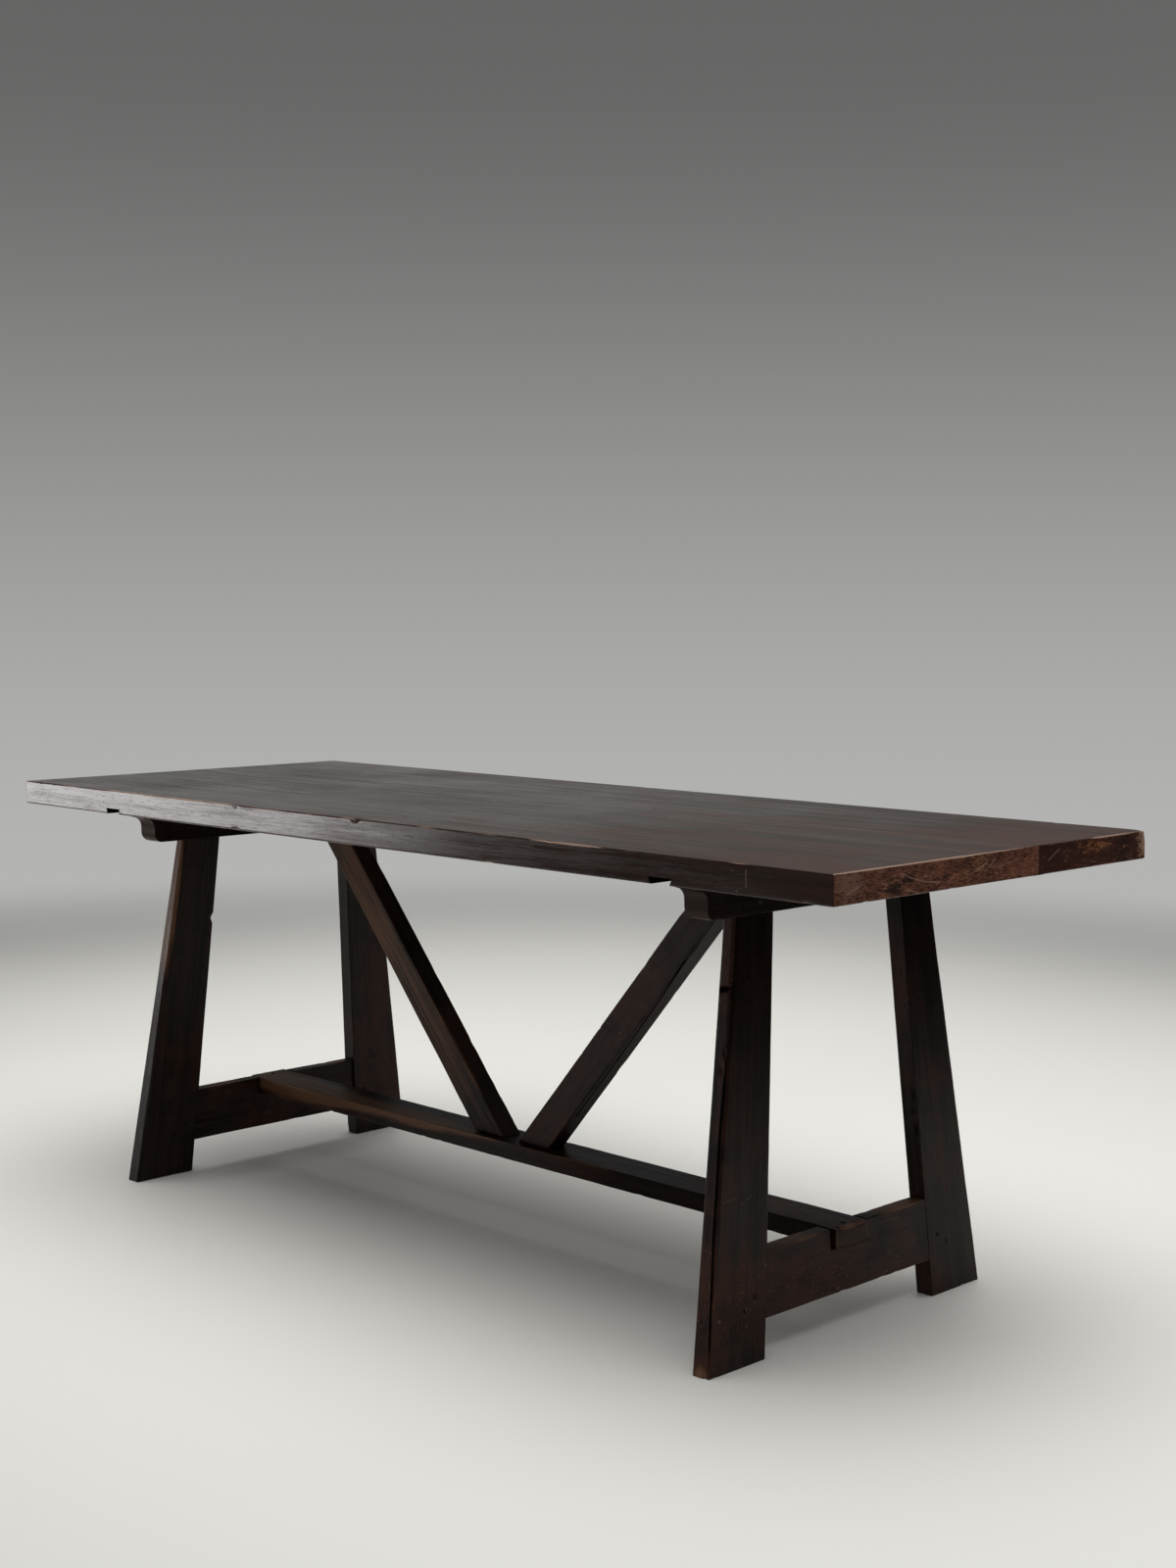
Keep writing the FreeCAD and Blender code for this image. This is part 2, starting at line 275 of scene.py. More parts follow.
def add_piece(name, points, quads, nodes, slot, **fields):
    """Makes the mesh, stores its fields as point attributes and hides the solids it stands for."""
    quads, volume = outward(points, quads)
    mesh = bpy.data.meshes.new(name)
    mesh.from_pydata(points.tolist(), [], quads.tolist())
    mesh.polygons.foreach_set("use_smooth", np.ones(len(quads), bool))
    mesh.set_sharp_from_angle(angle=SHARP_ANGLE)
    for key, values in fields.items():
        kind, entry = ("FLOAT_VECTOR", "vector") if values.ndim == 2 else ("FLOAT", "value")
        layer = mesh.attributes.new(key, kind, "POINT")
        layer.data.foreach_set(entry, values.astype(np.float32).ravel())
    piece = new_object(name, mesh)
    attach(piece, "root")
    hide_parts(*nodes)
    pieces[name] = piece
    print(name, len(quads), "faces,", round(volume * 1000, 2), "litres")


# %% Weather a timber
RUB_WIDTH = 0.0035
BITE_RUB = 0.4
ARRIS_SPELLS = ((0.45, 0.07), (0.3, 0.3))
RUB_SPELLS = ((0.75, 0.05),)
PLANE_WAVES = ((1, 1), (0.5, 0.37))
END_POWER = 4
NEXT_TREE = np.array([0.731, 0.177, 0.113])


def ripples(points, layers, seed):
    """A sum of ripples: each layer is a weight and a cell size."""
    return sum(weight * ripple(points, size, seed + number)
               for number, (weight, size) in enumerate(layers))


def weathered(node, skin, low, high, seed, order, radius, place=None, name=None, slot="frame_timber",
              bites=14, wave=0.0003, wave_size=0.09, marks=(), rubs_and_highlights=(), arris_rub=0.1, grime_and_shade=0,
              uneven=1):
    """A block's skin with eased arrises, bites, its own marks and rubs, its place, and plane waves.

    order names the axes along, across and through the grain. low and high may differ from point to
    point, as on a tapered leg. A mark is a dent that is darker inside. A rub makes the wood paler:
    most are wear, some are painted highlights and painted sheen. The darkening given from the start is
    a thin line along a joint and, elsewhere, painted shade on legs, bearers, braces, stretcher and
    grooves."""
    points, quads = skin
    low = np.broadcast_to(low, points.shape)
    high = np.broadcast_to(high, points.shape)
    spells = ripples(points, ARRIS_SPELLS, seed)
    radius = (np.broadcast_to(radius, len(points)) * (1 + uneven * spells))[:, None]
    edge = arris_distance(points, low, high)
    moves, bitten = edge_bites(points, low.min(axis=0), high.max(axis=0), bites, seed)
    # The dark field starts as a line along a joint and as painted shade; marks add darkness in their
    # dents.
    dirt = np.zeros(len(points)) + grime_and_shade
    for centre, reach, push, dark in marks:
        hollow = dent(points, centre, reach, push)
        moves = moves + hollow
        depth = np.linalg.norm(hollow, axis=1) / np.linalg.norm(push)
        dirt = np.maximum(dirt, depth * dark)
    shaped = ease(points, low, high, radius) + moves
    if place is not None:
        shaped = place(shaped)
    normals = skin_normals(shaped, quads)
    if outward(shaped, quads)[0] is not quads:
        normals = -normals
    waves = ripples(points, [(weight, part * wave_size) for weight, part in PLANE_WAVES], seed + 2)
    shaped = shaped + normals * (wave * waves)[:, None]
    patchy = np.clip(arris_rub + ripples(points, RUB_SPELLS, seed + 4), 0, 1)
    # The pale field: rubbed arrises and bites, and the rubs, some of which are painted highlights and
    # sheen.
    worn = np.exp(-edge / RUB_WIDTH) * patchy + BITE_RUB * bitten
    for centre, reach, amount in rubs_and_highlights:
        worn += dent(points, centre, reach, (amount,))[:, 0]
    add_piece(name or "worn_" + node, shaped, quads, [node], slot,
              grain=points[:, list(order)] + seed * NEXT_TREE, ends=normals[:, order[0]] ** END_POWER,
              worn=np.clip(worn, 0, 1), dirt=np.clip(dirt, 0, 1))


print("pieces carry grain, ends, worn and dirt")

# %% [markdown]
# ## The two planks of the top
#
# The top is two planks, each with two dovetail grooves across its underside for the bearers, which
# show at the front edge. A Boolean would leave ragged faces. Here the underside is a zigzag line
# along the plank, carried from front to back, and the edge is built in two bands, above and beside
# the grooves.

# %% Plank skin
TOP_STEP = 0.006
EDGE_STEP = 0.004
TOP_ARRIS = 0.0022
DOVETAIL_FLARE = 0.0045
GROOVE_ROOM = 0.0002
GROOVE_SPREAD = 0.03
GROOVE_STATIONS = 9
ROW_GAP = 0.001


def solid_box(node):
    """The lowest and highest corner of a solid, as arrays."""
    return [np.array(corner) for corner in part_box(node)]


bearer_low, bearer_high = solid_box("right_bearer")
bearer_x = (bearer_low[0] + bearer_high[0]) / 2
bearer_half = (bearer_high[0] - bearer_low[0]) / 2
groove_half = bearer_half + GROOVE_ROOM
groove_top = bearer_high[2] + GROOVE_ROOM


def lean_in(gap):
    """How far wood leans over a groove: the flare at its edge, nothing from a spread away."""
    return DOVETAIL_FLARE * np.clip(1 - gap / GROOVE_SPREAD, 0, 1)


def plank_runs(low, high):
    """Stations along the plank in five runs, wood and groove by turns, and how far each one leans into
    a groove at the underside."""
    cuts = [low, -bearer_x - groove_half, -bearer_x + groove_half,
            bearer_x - groove_half, bearer_x + groove_half, high]
    runs, leans = [], []
    for number, (first, last) in enumerate(zip(cuts, cuts[1:])):
        if number % 2:
            run = np.linspace(first, last, GROOVE_STATIONS)
            lean = np.zeros(GROOVE_STATIONS)
        else:
            run = stations(first, last, TOP_STEP, TOP_ARRIS)
            lean = lean_in(last - run) * (last < high) - lean_in(run - first) * (first > low)
        runs.append(run)
        leans.append(lean)
    return runs, leans


def split(rows, at, gap):
    """The rows below and above a level, with the level itself and nothing closer than the gap."""
    return np.append(rows[rows < at - gap], at), np.append(at, rows[rows > at + gap])


def plank_skin(low, high):
    """Top, ends, the underside zigzag carried from front to back, and for each long edge one band
    above the grooves and three beside them."""
    runs, leans = plank_runs(low[0], high[0])
    along = np.concatenate([runs[0]] + [run[1:] for run in runs[1:]])
    across = stations(low[1], high[1], TOP_STEP, TOP_ARRIS)
    lower, upper = split(stations(low[2], high[2], EDGE_STEP, TOP_ARRIS), groove_top, ROW_GAP)
    both = np.append(lower, upper[1:])
    under = face(2, 0, np.concatenate([run + lean for run, lean in zip(runs, leans)]), across, -1)
    zig_z = np.concatenate([np.full(len(run), (low[2], groove_top)[number % 2])
                            for number, run in enumerate(runs)])
    under[..., 2] = zig_z[::-1, None]
    grids = [face(2, high[2], along, across, 1), face(0, low[0], across, both, -1),
             face(0, high[0], across, both, 1), under]
    rest = (groove_top - lower) / (groove_top - low[2])
    for at, way in ((low[1], -1), (high[1], 1)):
        grids.append(face(1, at, upper, along, way))
        for run, lean in zip(runs[::2], leans[::2]):
            band = face(1, at, lower, run, 1)
            band[..., 0] += rest[:, None] * lean[None, :]
            grids.append(band[::way])
    return weld(grids)


print("grooves at", bearer_x.round(4), "up to", groove_top.round(4))

# %% Planks
SEAM_ARRIS = 0.0006
SEAM_BAND = 0.012
SKIN_GAP = 0.0003
HAIR = 1e-6
TOP_MARKS = [
    ((0.022, -0.381, 0.76), (0.012, 0.006, 0.006), (0, 0.003, -0.004), 0.8),
    ((-0.313, -0.381, 0.757), (0.006, 0.004, 0.003), (0, 0.0015, -0.001), 0.9),
    ((0.479, -0.381, 0.76), (0.01, 0.005, 0.004), (0, 0.0012, -0.001), 0),
    ((0.585, -0.381, 0.76), (0.008, 0.005, 0.004), (0, 0.0012, -0.001), 0),
    ((1.017, 0.381, 0.76), (0.02, 0.02, 0.02), (-0.0012, -0.0012, -0.0012), 0),
]
# Pale places on the top. The first, along the right end's top arris, and the fourth, along the left half
# of the front top arris, are painted highlights; the others are wear.
TOP_RUBS_AND_HIGHLIGHTS = [
    ((1.017, -0.2, 0.76), (0.003, 0.34, 0.003), 1.8),
    ((1.017, 0.3, 0.7595), (0.004, 0.1, 0.004), 0.5),
    ((1.017, 0.375, 0.74), (0.004, 0.018, 0.04), 0.5),
    ((-0.55, -0.381, 0.7595), (0.55, 0.004, 0.004), 0.7),
    ((0.53, -0.381, 0.7595), (0.1, 0.0035, 0.0035), 0.8),
    ((-1.017, -0.381, 0.748), (0.06, 0.003, 0.03), 0.5),
]


def make_plank(name, node, seed):
    """One plank, with a crisper seam edge and painted shade in its grooves."""
    low, high = solid_box(node)
    skin = plank_skin(low, high)
    along, across, height = skin[0].T
    seam = high[1] if abs(high[1]) < abs(low[1]) else low[1]
    near_seam = np.abs(across - seam) < SEAM_BAND
    in_groove = np.abs(np.abs(along) - bearer_x) < groove_half + DOVETAIL_FLARE
    in_groove &= height < groove_top + HAIR
    in_groove &= (across > low[1] + SKIN_GAP) & (across < high[1] - SKIN_GAP)
    # The grooves are painted black as painted shade.
    weathered(node, skin, low, high, seed, (0, 1, 2), np.where(near_seam, SEAM_ARRIS, TOP_ARRIS),
              name=name, slot="top_timber", bites=18, wave=0.00005,
              wave_size=np.array([0.6, 0.12, 0.12]), marks=TOP_MARKS, rubs_and_highlights=TOP_RUBS_AND_HIGHLIGHTS,
              arris_rub=np.where(near_seam, -1, 0.2), grime_and_shade=1 * in_groove, uneven=0.4)


make_plank("front_plank", "front_top_board", 11)
make_plank("rear_plank", "rear_top_board", 12)

# %% [markdown]
# ## Bearers
#
# Each bearer is a batten that slides into the top on a dovetail. Its ends have an ogee: a lip, a
# hollow, a small flat and a round. A bevelled block would miss that curve, so a plain block with a
# tail on top has its lower face pressed up to the ogee line. Its sides are painted darker than its
# ends, as painted shade under the top.

# %% Ogee line
COVE_RADIUS = 0.02
FLAT = 0.01
FLAT_PART = (0.2, 0.8)
ROUND_RADIUS = 0.017
CURVE_STEPS = 14
FLAT_STEPS = 4
LEVEL_STEPS = 150
top_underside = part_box("front_top_board")[0][2]
bearer_bottom = bearer_low[2]
bearer_tip = bearer_high[1]
bearer_height = top_underside - bearer_bottom


def ogee():
    """The lower line of a bearer end as places (y, z): a quarter round, a flat, a quarter hollow."""
    turn = np.linspace(0, pi / 2, CURVE_STEPS)
    inner = bearer_tip - COVE_RADIUS
    round_z = bearer_bottom + ROUND_RADIUS
    rounded = np.column_stack((inner - ROUND_RADIUS * (1 - np.sin(turn)),
                               round_z - ROUND_RADIUS * np.cos(turn)))
    flat_z = round_z + FLAT * np.linspace(*FLAT_PART, FLAT_STEPS)
    flat = np.column_stack((np.full(FLAT_STEPS, inner), flat_z))
    hollow = np.column_stack((bearer_tip - COVE_RADIUS * np.cos(turn),
                              round_z + FLAT + COVE_RADIUS * np.sin(turn)))
    return np.concatenate([rounded, flat, hollow])


def bearer_lines():
    """The bearer's whole lower line, and each place's station on the straight upper edge. Along an
    ogee they are spread evenly by length, so that rows never cross."""
    end = ogee()
    steps = np.linalg.norm(np.diff(end, axis=0), axis=1)
    share = np.concatenate([[0], np.cumsum(steps)]) / steps.sum()
    start = end[0, 0]
    upper_end = start + (bearer_tip - start) * share
    middle = np.linspace(-start, start, LEVEL_STEPS)[1:-1]
    level = np.column_stack((middle, np.full(len(middle), bearer_bottom)))
    lower = np.concatenate([end[::-1] * (-1, 1), level, end])
    return lower, np.concatenate([-upper_end[::-1], middle, upper_end])


lower_line, upper_line = bearer_lines()
print("ogee reaches", lower_line[:, 1].min().round(4), "to", lower_line[:, 1].max().round(4))

# %% Bearers
SIDES = (("left", -1), ("right", 1))
ARRIS_COUNT = len(ARRIS_ROWS)
# Painted shade on both sides of each bearer, under the top.
BEARER_SIDE_SHADE = 0.6
BEARER_ARRIS = 0.0016
BEARER_STEPS = (0.004, 0.0045)
bearer_neck = bearer_half - DOVETAIL_FLARE
tail_top = bearer_height + (bearer_high[2] - top_underside)


def bearer_skin():
    """A block with a dovetail tail: underside, shoulders and the tail's top, then for each side a
    face, a tip, and the tail's flank and tip, which widen upwards."""
    across = stations(-bearer_half, bearer_half, BEARER_STEPS[0], DOVETAIL_FLARE / ARRIS_ROWS[-1])
    heights = stations(0, bearer_height, BEARER_STEPS[1], ROW_RADIUS)
    tall = np.array([bearer_height, tail_top])
    neck = across[ARRIS_COUNT - 1:len(across) - ARRIS_COUNT + 1]
    wide = neck * bearer_half / bearer_neck
    grids = [face(2, 0, across, upper_line, -1),
             face(2, bearer_height, across[:ARRIS_COUNT], upper_line, 1),
             face(2, bearer_height, across[-ARRIS_COUNT:], upper_line, 1),
             face(2, tail_top, wide, upper_line, 1)]
    for way in (-1, 1):
        grids.append(face(0, way * bearer_half, upper_line, heights, way))
        grids.append(face(1, way * bearer_tip, heights, across, way))
        flank = face(0, way * bearer_neck, upper_line, tall, 1)
        flank[:, 1, 0] = way * bearer_half
        tip = face(1, way * bearer_tip, tall, neck, 1)
        tip[1, :, 0] = wide
        grids += [flank[::way], tip[::way]]
    return weld(grids)


def on_bearer(centre_x, points):
    """A station and a height become a place, by the height's share of the way from the ogee line to
    the upper edge."""
    across, station, height = points.T
    share = np.clip(height / bearer_height, None, 1)
    low_y = np.interp(station, upper_line, lower_line[:, 0])
    low_z = np.interp(station, upper_line, lower_line[:, 1])
    above = np.maximum(height - bearer_height, 0)
    return np.column_stack((centre_x + across, low_y + (station - low_y) * share,
                            low_z + (top_underside - low_z) * share + above))


for seed, (side, side_x) in enumerate(SIDES, 21):
    skin = bearer_skin()
    on_side = np.abs(skin[0][:, 0]) > bearer_half - HAIR
    weathered(side + "_bearer", skin, (-bearer_half, -bearer_tip, 0),
              (bearer_half, bearer_tip, tail_top), seed, (1, 2, 0), BEARER_ARRIS,
              partial(on_bearer, side_x * bearer_x), bites=10, grime_and_shade=BEARER_SIDE_SHADE * on_side)

# %% [markdown]
# ## Legs
#
# A leg is a board that tapers upwards, leans out both ways, and has a chamfer on its two outer
# arrises that fades towards the foot. A cube could be cut and turned, but all of it is a change of
# place for the points of a straight block: scale across by height, cut the corner, shift by height.
# The outer face is painted darker high up: painted shade under the top's overhang.

# %% Leg skin
LEG_TOP_WIDTH = 0.081
LEG_FOOT_WIDTH = 0.126
LEG_THICKNESS = 0.031
LEG_RAKE = 0.035
CHAMFER_TOP = 0.007
CHAMFER_FOOT = 0.002
LEG_STEP = 0.003
LEG_ROWS = (0.003, 0.004, 0.002)
leg_low, leg_high = solid_box("rear_right_leg")
leg_top = bearer_bottom


def leg_at(z):
    """At a height: half the leg's width, and how far its middle and its outer face are from the middle
    of the table. Each runs straight from foot to top."""
    share = z / leg_top
    half = (LEG_FOOT_WIDTH + (LEG_TOP_WIDTH - LEG_FOOT_WIDTH) * share) / 2
    foot = leg_high[1] - LEG_FOOT_WIDTH / 2
    top = leg_low[1] + LEG_TOP_WIDTH / 2
    return half, foot + (top - foot) * share, leg_high[0] - LEG_RAKE * share


def on_leg(side_x, side_y, points):
    """Cuts the chamfer where the distances to an outer arris add up to less than its width, by moving
    a point equally far from both faces, then leans the leg."""
    depth, across, z = points.T
    half, middle, outer = leg_at(z)
    chamfer = CHAMFER_FOOT + (CHAMFER_TOP - CHAMFER_FOOT) * (z / leg_top)
    from_face = np.minimum(-depth, depth + LEG_THICKNESS)
    cut = np.maximum(chamfer - from_face - (half - across), 0) / 2
    inward = np.where(depth > -LEG_THICKNESS / 2, -1, 1)
    return np.column_stack((side_x * (outer + depth + inward * cut),
                            side_y * (middle + across - cut), z))


def leg_skin():
    """A straight block that is already narrower towards the top."""
    low = (-LEG_THICKNESS, -LEG_FOOT_WIDTH / 2, 0)
    high = (0, LEG_FOOT_WIDTH / 2, leg_top)
    points, quads = weld(block([stations(start, end, LEG_STEP, rows)
                                for start, end, rows in zip(low, high, LEG_ROWS)]))
    points[:, 1] *= leg_at(points[:, 2])[0] / (LEG_FOOT_WIDTH / 2)
    return points, quads


print("leg widths:", 2 * leg_at(np.array([0, leg_top]))[0])

# %% Legs
LEG_ARRIS = 0.0014
# Painted shade on the legs' outer faces: none low down, darkest under the top.
LEG_PAINTED_SHADE = 0.75
LEG_SHADE_FROM = 0.26
LEG_SHADE_RISE = 0.3
OUTER_FACE = -0.001
LEG_SIDES = {"front_left_leg": (-1, -1), "rear_left_leg": (-1, 1),
             "front_right_leg": (1, -1), "rear_right_leg": (1, 1)}
LEG_MARKS = {
    "front_right_leg": [
        ((-0.0235, 0.0442, 0.551), (0.011, 0.012, 0.0062), (0, -0.007, 0), 1.4),
        ((-0.0135, 0.0442, 0.5525), (0.009, 0.012, 0.0055), (0, -0.007, 0), 1.4),
        ((-0.0055, 0.0442, 0.555), (0.006, 0.01, 0.0048), (0, -0.004, 0), 1.2),
        ((-0.012, 0.06, 0.108), (0.003, 0.006, 0.003), (0, -0.002, 0), 1),
        ((-0.02, 0.061, 0.078), (0.003, 0.006, 0.003), (0, -0.002, 0), 1),
        ((-0.006, 0.048, 0.462), (0.006, 0.008, 0.012), (-0.001, -0.0022, 0), 0.5),
        ((-0.01, 0.049, 0.436), (0.007, 0.008, 0.008), (-0.001, -0.0018, 0), 0.4),
        ((-0.005, 0.063, 0.002), (0.009, 0.012, 0.014), (-0.0015, -0.003, 0.001), 0),
    ],
    "front_left_leg": [((-0.031, -0.044, 0.499), (0.012, 0.008, 0.012), (0.002, 0.004, 0), 0.2)],
    "rear_right_leg": [
        ((-0.004, -0.0515, 0.326), (0.007, 0.009, 0.016), (-0.0015, 0.0022, 0), 0.5),
        ((-0.01, -0.052, 0.3), (0.006, 0.008, 0.01), (0, 0.0018, 0), 0.5),
        ((-0.005, -0.0535, 0.268), (0.007, 0.009, 0.014), (-0.0012, 0.002, 0), 0.5),
    ],
}
# Pale places on the legs. The long one on the front left leg's front face is painted sheen high up and
# wear lower down; the others are wear at the feet.
LEG_RUBS_AND_SHEEN = {
    "front_right_leg": [((-0.014, 0.063, 0), (0.022, 0.012, 0.03), 1)],
    "front_left_leg": [((-0.0155, 0.045, 0.54), (0.03, 0.016, 0.24), 1.8)],
    "rear_left_leg": [((-0.01, -0.06, 0), (0.02, 0.012, 0.025), 0.6)],
}

for seed, (name, sides) in enumerate(LEG_SIDES.items(), 31):
    skin = leg_skin()
    depth, _, z = skin[0].T
    half = leg_at(z)[0]
    zeros = np.zeros_like(half)
    weathered(name, skin, np.column_stack((zeros - LEG_THICKNESS, -half, zeros)),
              np.column_stack((zeros, half, zeros + leg_top)), seed, (2, 1, 0), LEG_ARRIS,
              partial(on_leg, *sides), bites=20, marks=LEG_MARKS.get(name, ()),
              rubs_and_highlights=LEG_RUBS_AND_SHEEN.get(name, ()), arris_rub=-0.3,
              grime_and_shade=LEG_PAINTED_SHADE * np.clip((z - LEG_SHADE_FROM) / LEG_SHADE_RISE, 0, 1) * (depth > OUTER_FACE))

# %% [markdown]
# ## Cross stretchers
#
# A rail joins the two legs of each trestle, with a notch in its top edge for the long stretcher. A
# Boolean could cut it. Here the block is built in two bands of height, so that the notch is a gap in
# the upper one. A thin dark line of dirt follows it.

# %% Cross stretchers
RAIL_THICKNESS = 0.026
RAIL_FLOOR_GAP = 0.06
RAIL_TOP = 0.16
RAIL_STEP = 0.004
RAIL_ARRIS = 0.0018
NOTCH_FRONT = 0.0445
NOTCH_BACK = 0.0415
NOTCH_STATIONS = 22
NOTCH_ROWS = 0.002
NOTCH_ROW_GAP = 0.002
NOTCH_GRIME = 0.0022
SLANT_FROM = 0.06
RAIL_RUBS = [((-0.013, -0.13, 0.16), (0.05, 0.11, 0.005), 0.75),
             ((-0.013, 0.14, 0.16), (0.05, 0.12, 0.005), 0.85)]
stretcher_low, stretcher_high = solid_box("long_stretcher")
notch_floor = stretcher_low[2]


def rail_reach(z):
    """Distance from the rail's middle to the leg's inner edge at a height."""
    half, middle, _ = leg_at(z)
    return middle - half


rail_half = rail_reach((RAIL_FLOOR_GAP + RAIL_TOP) / 2)


def rail_skin():
    """Underside, ends, both faces in a full lower band and two upper pieces, and the notch."""
    depths = stations(-RAIL_THICKNESS, 0, RAIL_STEP, ROW_RADIUS)
    left = stations(-rail_half, -NOTCH_FRONT, RAIL_STEP, NOTCH_ROWS)
    gap = np.linspace(-NOTCH_FRONT, NOTCH_BACK, NOTCH_STATIONS)
    right = stations(NOTCH_BACK, rail_half, RAIL_STEP, NOTCH_ROWS)
    whole = np.concatenate([left, gap[1:-1], right])
    heights = stations(RAIL_FLOOR_GAP, RAIL_TOP, RAIL_STEP, ROW_RADIUS)
    lower, upper = split(heights, notch_floor, NOTCH_ROW_GAP)
    grids = [face(2, RAIL_FLOOR_GAP, depths, whole, -1), face(2, notch_floor, depths, gap, 1),
             face(2, RAIL_TOP, depths, left, 1), face(2, RAIL_TOP, depths, right, 1),
             face(1, -NOTCH_FRONT, upper, depths, 1), face(1, NOTCH_BACK, upper, depths, -1)]
    for way, at in ((-1, -RAIL_THICKNESS), (1, 0)):
        grids.append(face(0, at, whole, lower, way))
        grids.append(face(0, at, left, upper, way))
        grids.append(face(0, at, right, upper, way))
        grids.append(face(1, way * rail_half, np.append(lower, upper[1:]), depths, way))
    return weld(grids)


def on_rail(side_x, points):
    """Leans the rail with the legs, and slants its ends to meet them, more towards the end."""
    depth, along, z = points.T
    share = np.clip((np.abs(along) - SLANT_FROM) / (rail_half - SLANT_FROM), 0, 1)
    slant = np.sign(along) * share * (rail_reach(z) - rail_half)
    return np.column_stack((side_x * (leg_at(z)[2] + depth), along + slant, z))


for seed, (side, side_x) in enumerate(SIDES, 41):
    skin = rail_skin()
    _, along, z = skin[0].T
    beside = np.maximum(along - NOTCH_BACK, -NOTCH_FRONT - along)
    from_notch = np.maximum(np.maximum(beside, notch_floor - z), 0)
    weathered(side + "_cross_stretcher", skin, (-RAIL_THICKNESS, -rail_half, RAIL_FLOOR_GAP),
              (0, rail_half, RAIL_TOP), seed, (1, 2, 0), RAIL_ARRIS, partial(on_rail, side_x),
              bites=10, rubs_and_highlights=RAIL_RUBS, grime_and_shade=np.exp(-(from_notch / NOTCH_GRIME) ** 2))

# %% [markdown]
# ## The long stretcher and the braces
#
# The long stretcher is a flat board. It is paler at the left, partly from the wear of feet and partly
# as painted light, and has painted shade on its front at the right. A brace is cut level at both ends.
# A turned cube would need those cuts, but every level slice has the same size and only moves sideways
# with height, so a brace is a sheared block. The left one is paler on its front, partly worn and
# partly as painted sheen, and both have painted shade underneath.

# %% Long stretcher
STRETCHER_STEPS = (0.005, 0.004, 0.004)
STRETCHER_ARRIS = 0.0022
# Painted shade on the front face of the long stretcher, growing towards the right.
STRETCHER_FRONT_SHADE = 0.6
FRONT_SHADE_FROM = 0.05
FRONT_SHADE_RISE = 0.2
STRETCHER_MARKS = [
    ((0.7533, 0.012, 0.16), (0.01, 0.016, 0.006), (-0.0022, 0, -0.0022), 0),
    ((0.7533, -0.028, 0.16), (0.01, 0.012, 0.006), (-0.002, 0, -0.0018), 0),
    ((0.7533, 0.036, 0.145), (0.008, 0.01, 0.012), (-0.0015, -0.0015, 0), 0),
]
# Pale places on the long stretcher. The two broad ones at the left are partly wear from feet and partly
# painted light, the thin one along the front arris is a painted highlight, the one on the top at the
# right a painted sheen, and the three at the end block are wear.
STRETCHER_RUBS_AND_LIGHT = [
    ((0.7533, 0, 0.16), (0.016, 0.055, 0.006), 0.75),
    ((0.7533, 0.04, 0.145), (0.006, 0.005, 0.03), 0.7),
    ((0.7533, -0.04, 0.145), (0.006, 0.005, 0.03), 0.6),
    ((-0.62, -0.04, 0.16), (0.36, 0.1, 0.04), 1.6),
    ((-0.25, -0.04, 0.16), (0.3, 0.08, 0.025), 1.2),
    ((0.2, -0.04, 0.16), (0.45, 0.004, 0.004), 0.5),
    ((0.6, 0, 0.16), (0.22, 0.07, 0.006), 0.7),
]
skin = weld(block([stations(low, high, step, ROW_RADIUS)
                   for low, high, step in zip(stretcher_low, stretcher_high, STRETCHER_STEPS)]))
along, across, _ = skin[0].T
grime_and_shade = STRETCHER_FRONT_SHADE * np.clip((along - FRONT_SHADE_FROM) / FRONT_SHADE_RISE, 0, 1)
weathered("long_stretcher", skin, stretcher_low, stretcher_high, 51, (0, 1, 2), STRETCHER_ARRIS,
          bites=26, marks=STRETCHER_MARKS, rubs_and_highlights=STRETCHER_RUBS_AND_LIGHT,
          grime_and_shade=grime_and_shade * (across < stretcher_low[1] + HAIR))

# %% Braces
BRACE_LEVEL_WIDTH = 0.0771
BRACE_STEP = 0.003
BRACE_ARRIS = 0.002
# Painted shade on the undersides of the braces.
BRACE_UNDER_SHADE = 0.45
# The left brace's front is paler, partly from wear and partly as painted sheen.
BRACE_RUBS_AND_SHEEN = {"left": [((0, -0.02, 0.46), (0.09, 0.01, 0.55), 0.7),
                       ((0.03, -0.02, 0.52), (0.03, 0.01, 0.16), 0.35)]}
brace_low, brace_high = solid_box("right_brace")
brace_foot_z = stretcher_high[2]
brace_run = brace_high[0] - brace_low[0] - BRACE_LEVEL_WIDTH


def on_brace(side_x, points):
    """Shifts each level slice along the table by its share of the height."""
    along, across, z = points.T
    share = (z - brace_foot_z) / (top_underside - brace_foot_z)
    middle = brace_low[0] + BRACE_LEVEL_WIDTH / 2 + brace_run * share
    return np.column_stack((side_x * (middle + along), across, z))


for seed, (side, side_x) in enumerate(SIDES, 61):
    low = (-BRACE_LEVEL_WIDTH / 2, brace_low[1], brace_foot_z)
    high = (BRACE_LEVEL_WIDTH / 2, brace_high[1], top_underside)
    skin = weld(block([stations(*ends, BRACE_STEP, ROW_RADIUS) for ends in zip(low, high)]))
    weathered(side + "_brace", skin, low, high, seed, (2, 0, 1), BRACE_ARRIS,
              partial(on_brace, side_x), bites=18, rubs_and_highlights=BRACE_RUBS_AND_SHEEN.get(side, ()),
              grime_and_shade=BRACE_UNDER_SHADE * (skin[0][:, 0] > high[0] - HAIR))

# %% [markdown]
# ## Pegs
#
# The joints are pinned with whittled pegs, whose ends stand a hair proud and catch the light. A
# cylinder would be too perfect, so a block with a square section is drawn onto a slightly faceted
# round one, and its ends are domed.

# %% One peg
PEG_DOME = 0.0007
PEG_FACETS = 9
FACET_SWELL = 0.03
PEG_STATIONS = 15
SECTION_STATIONS = 9


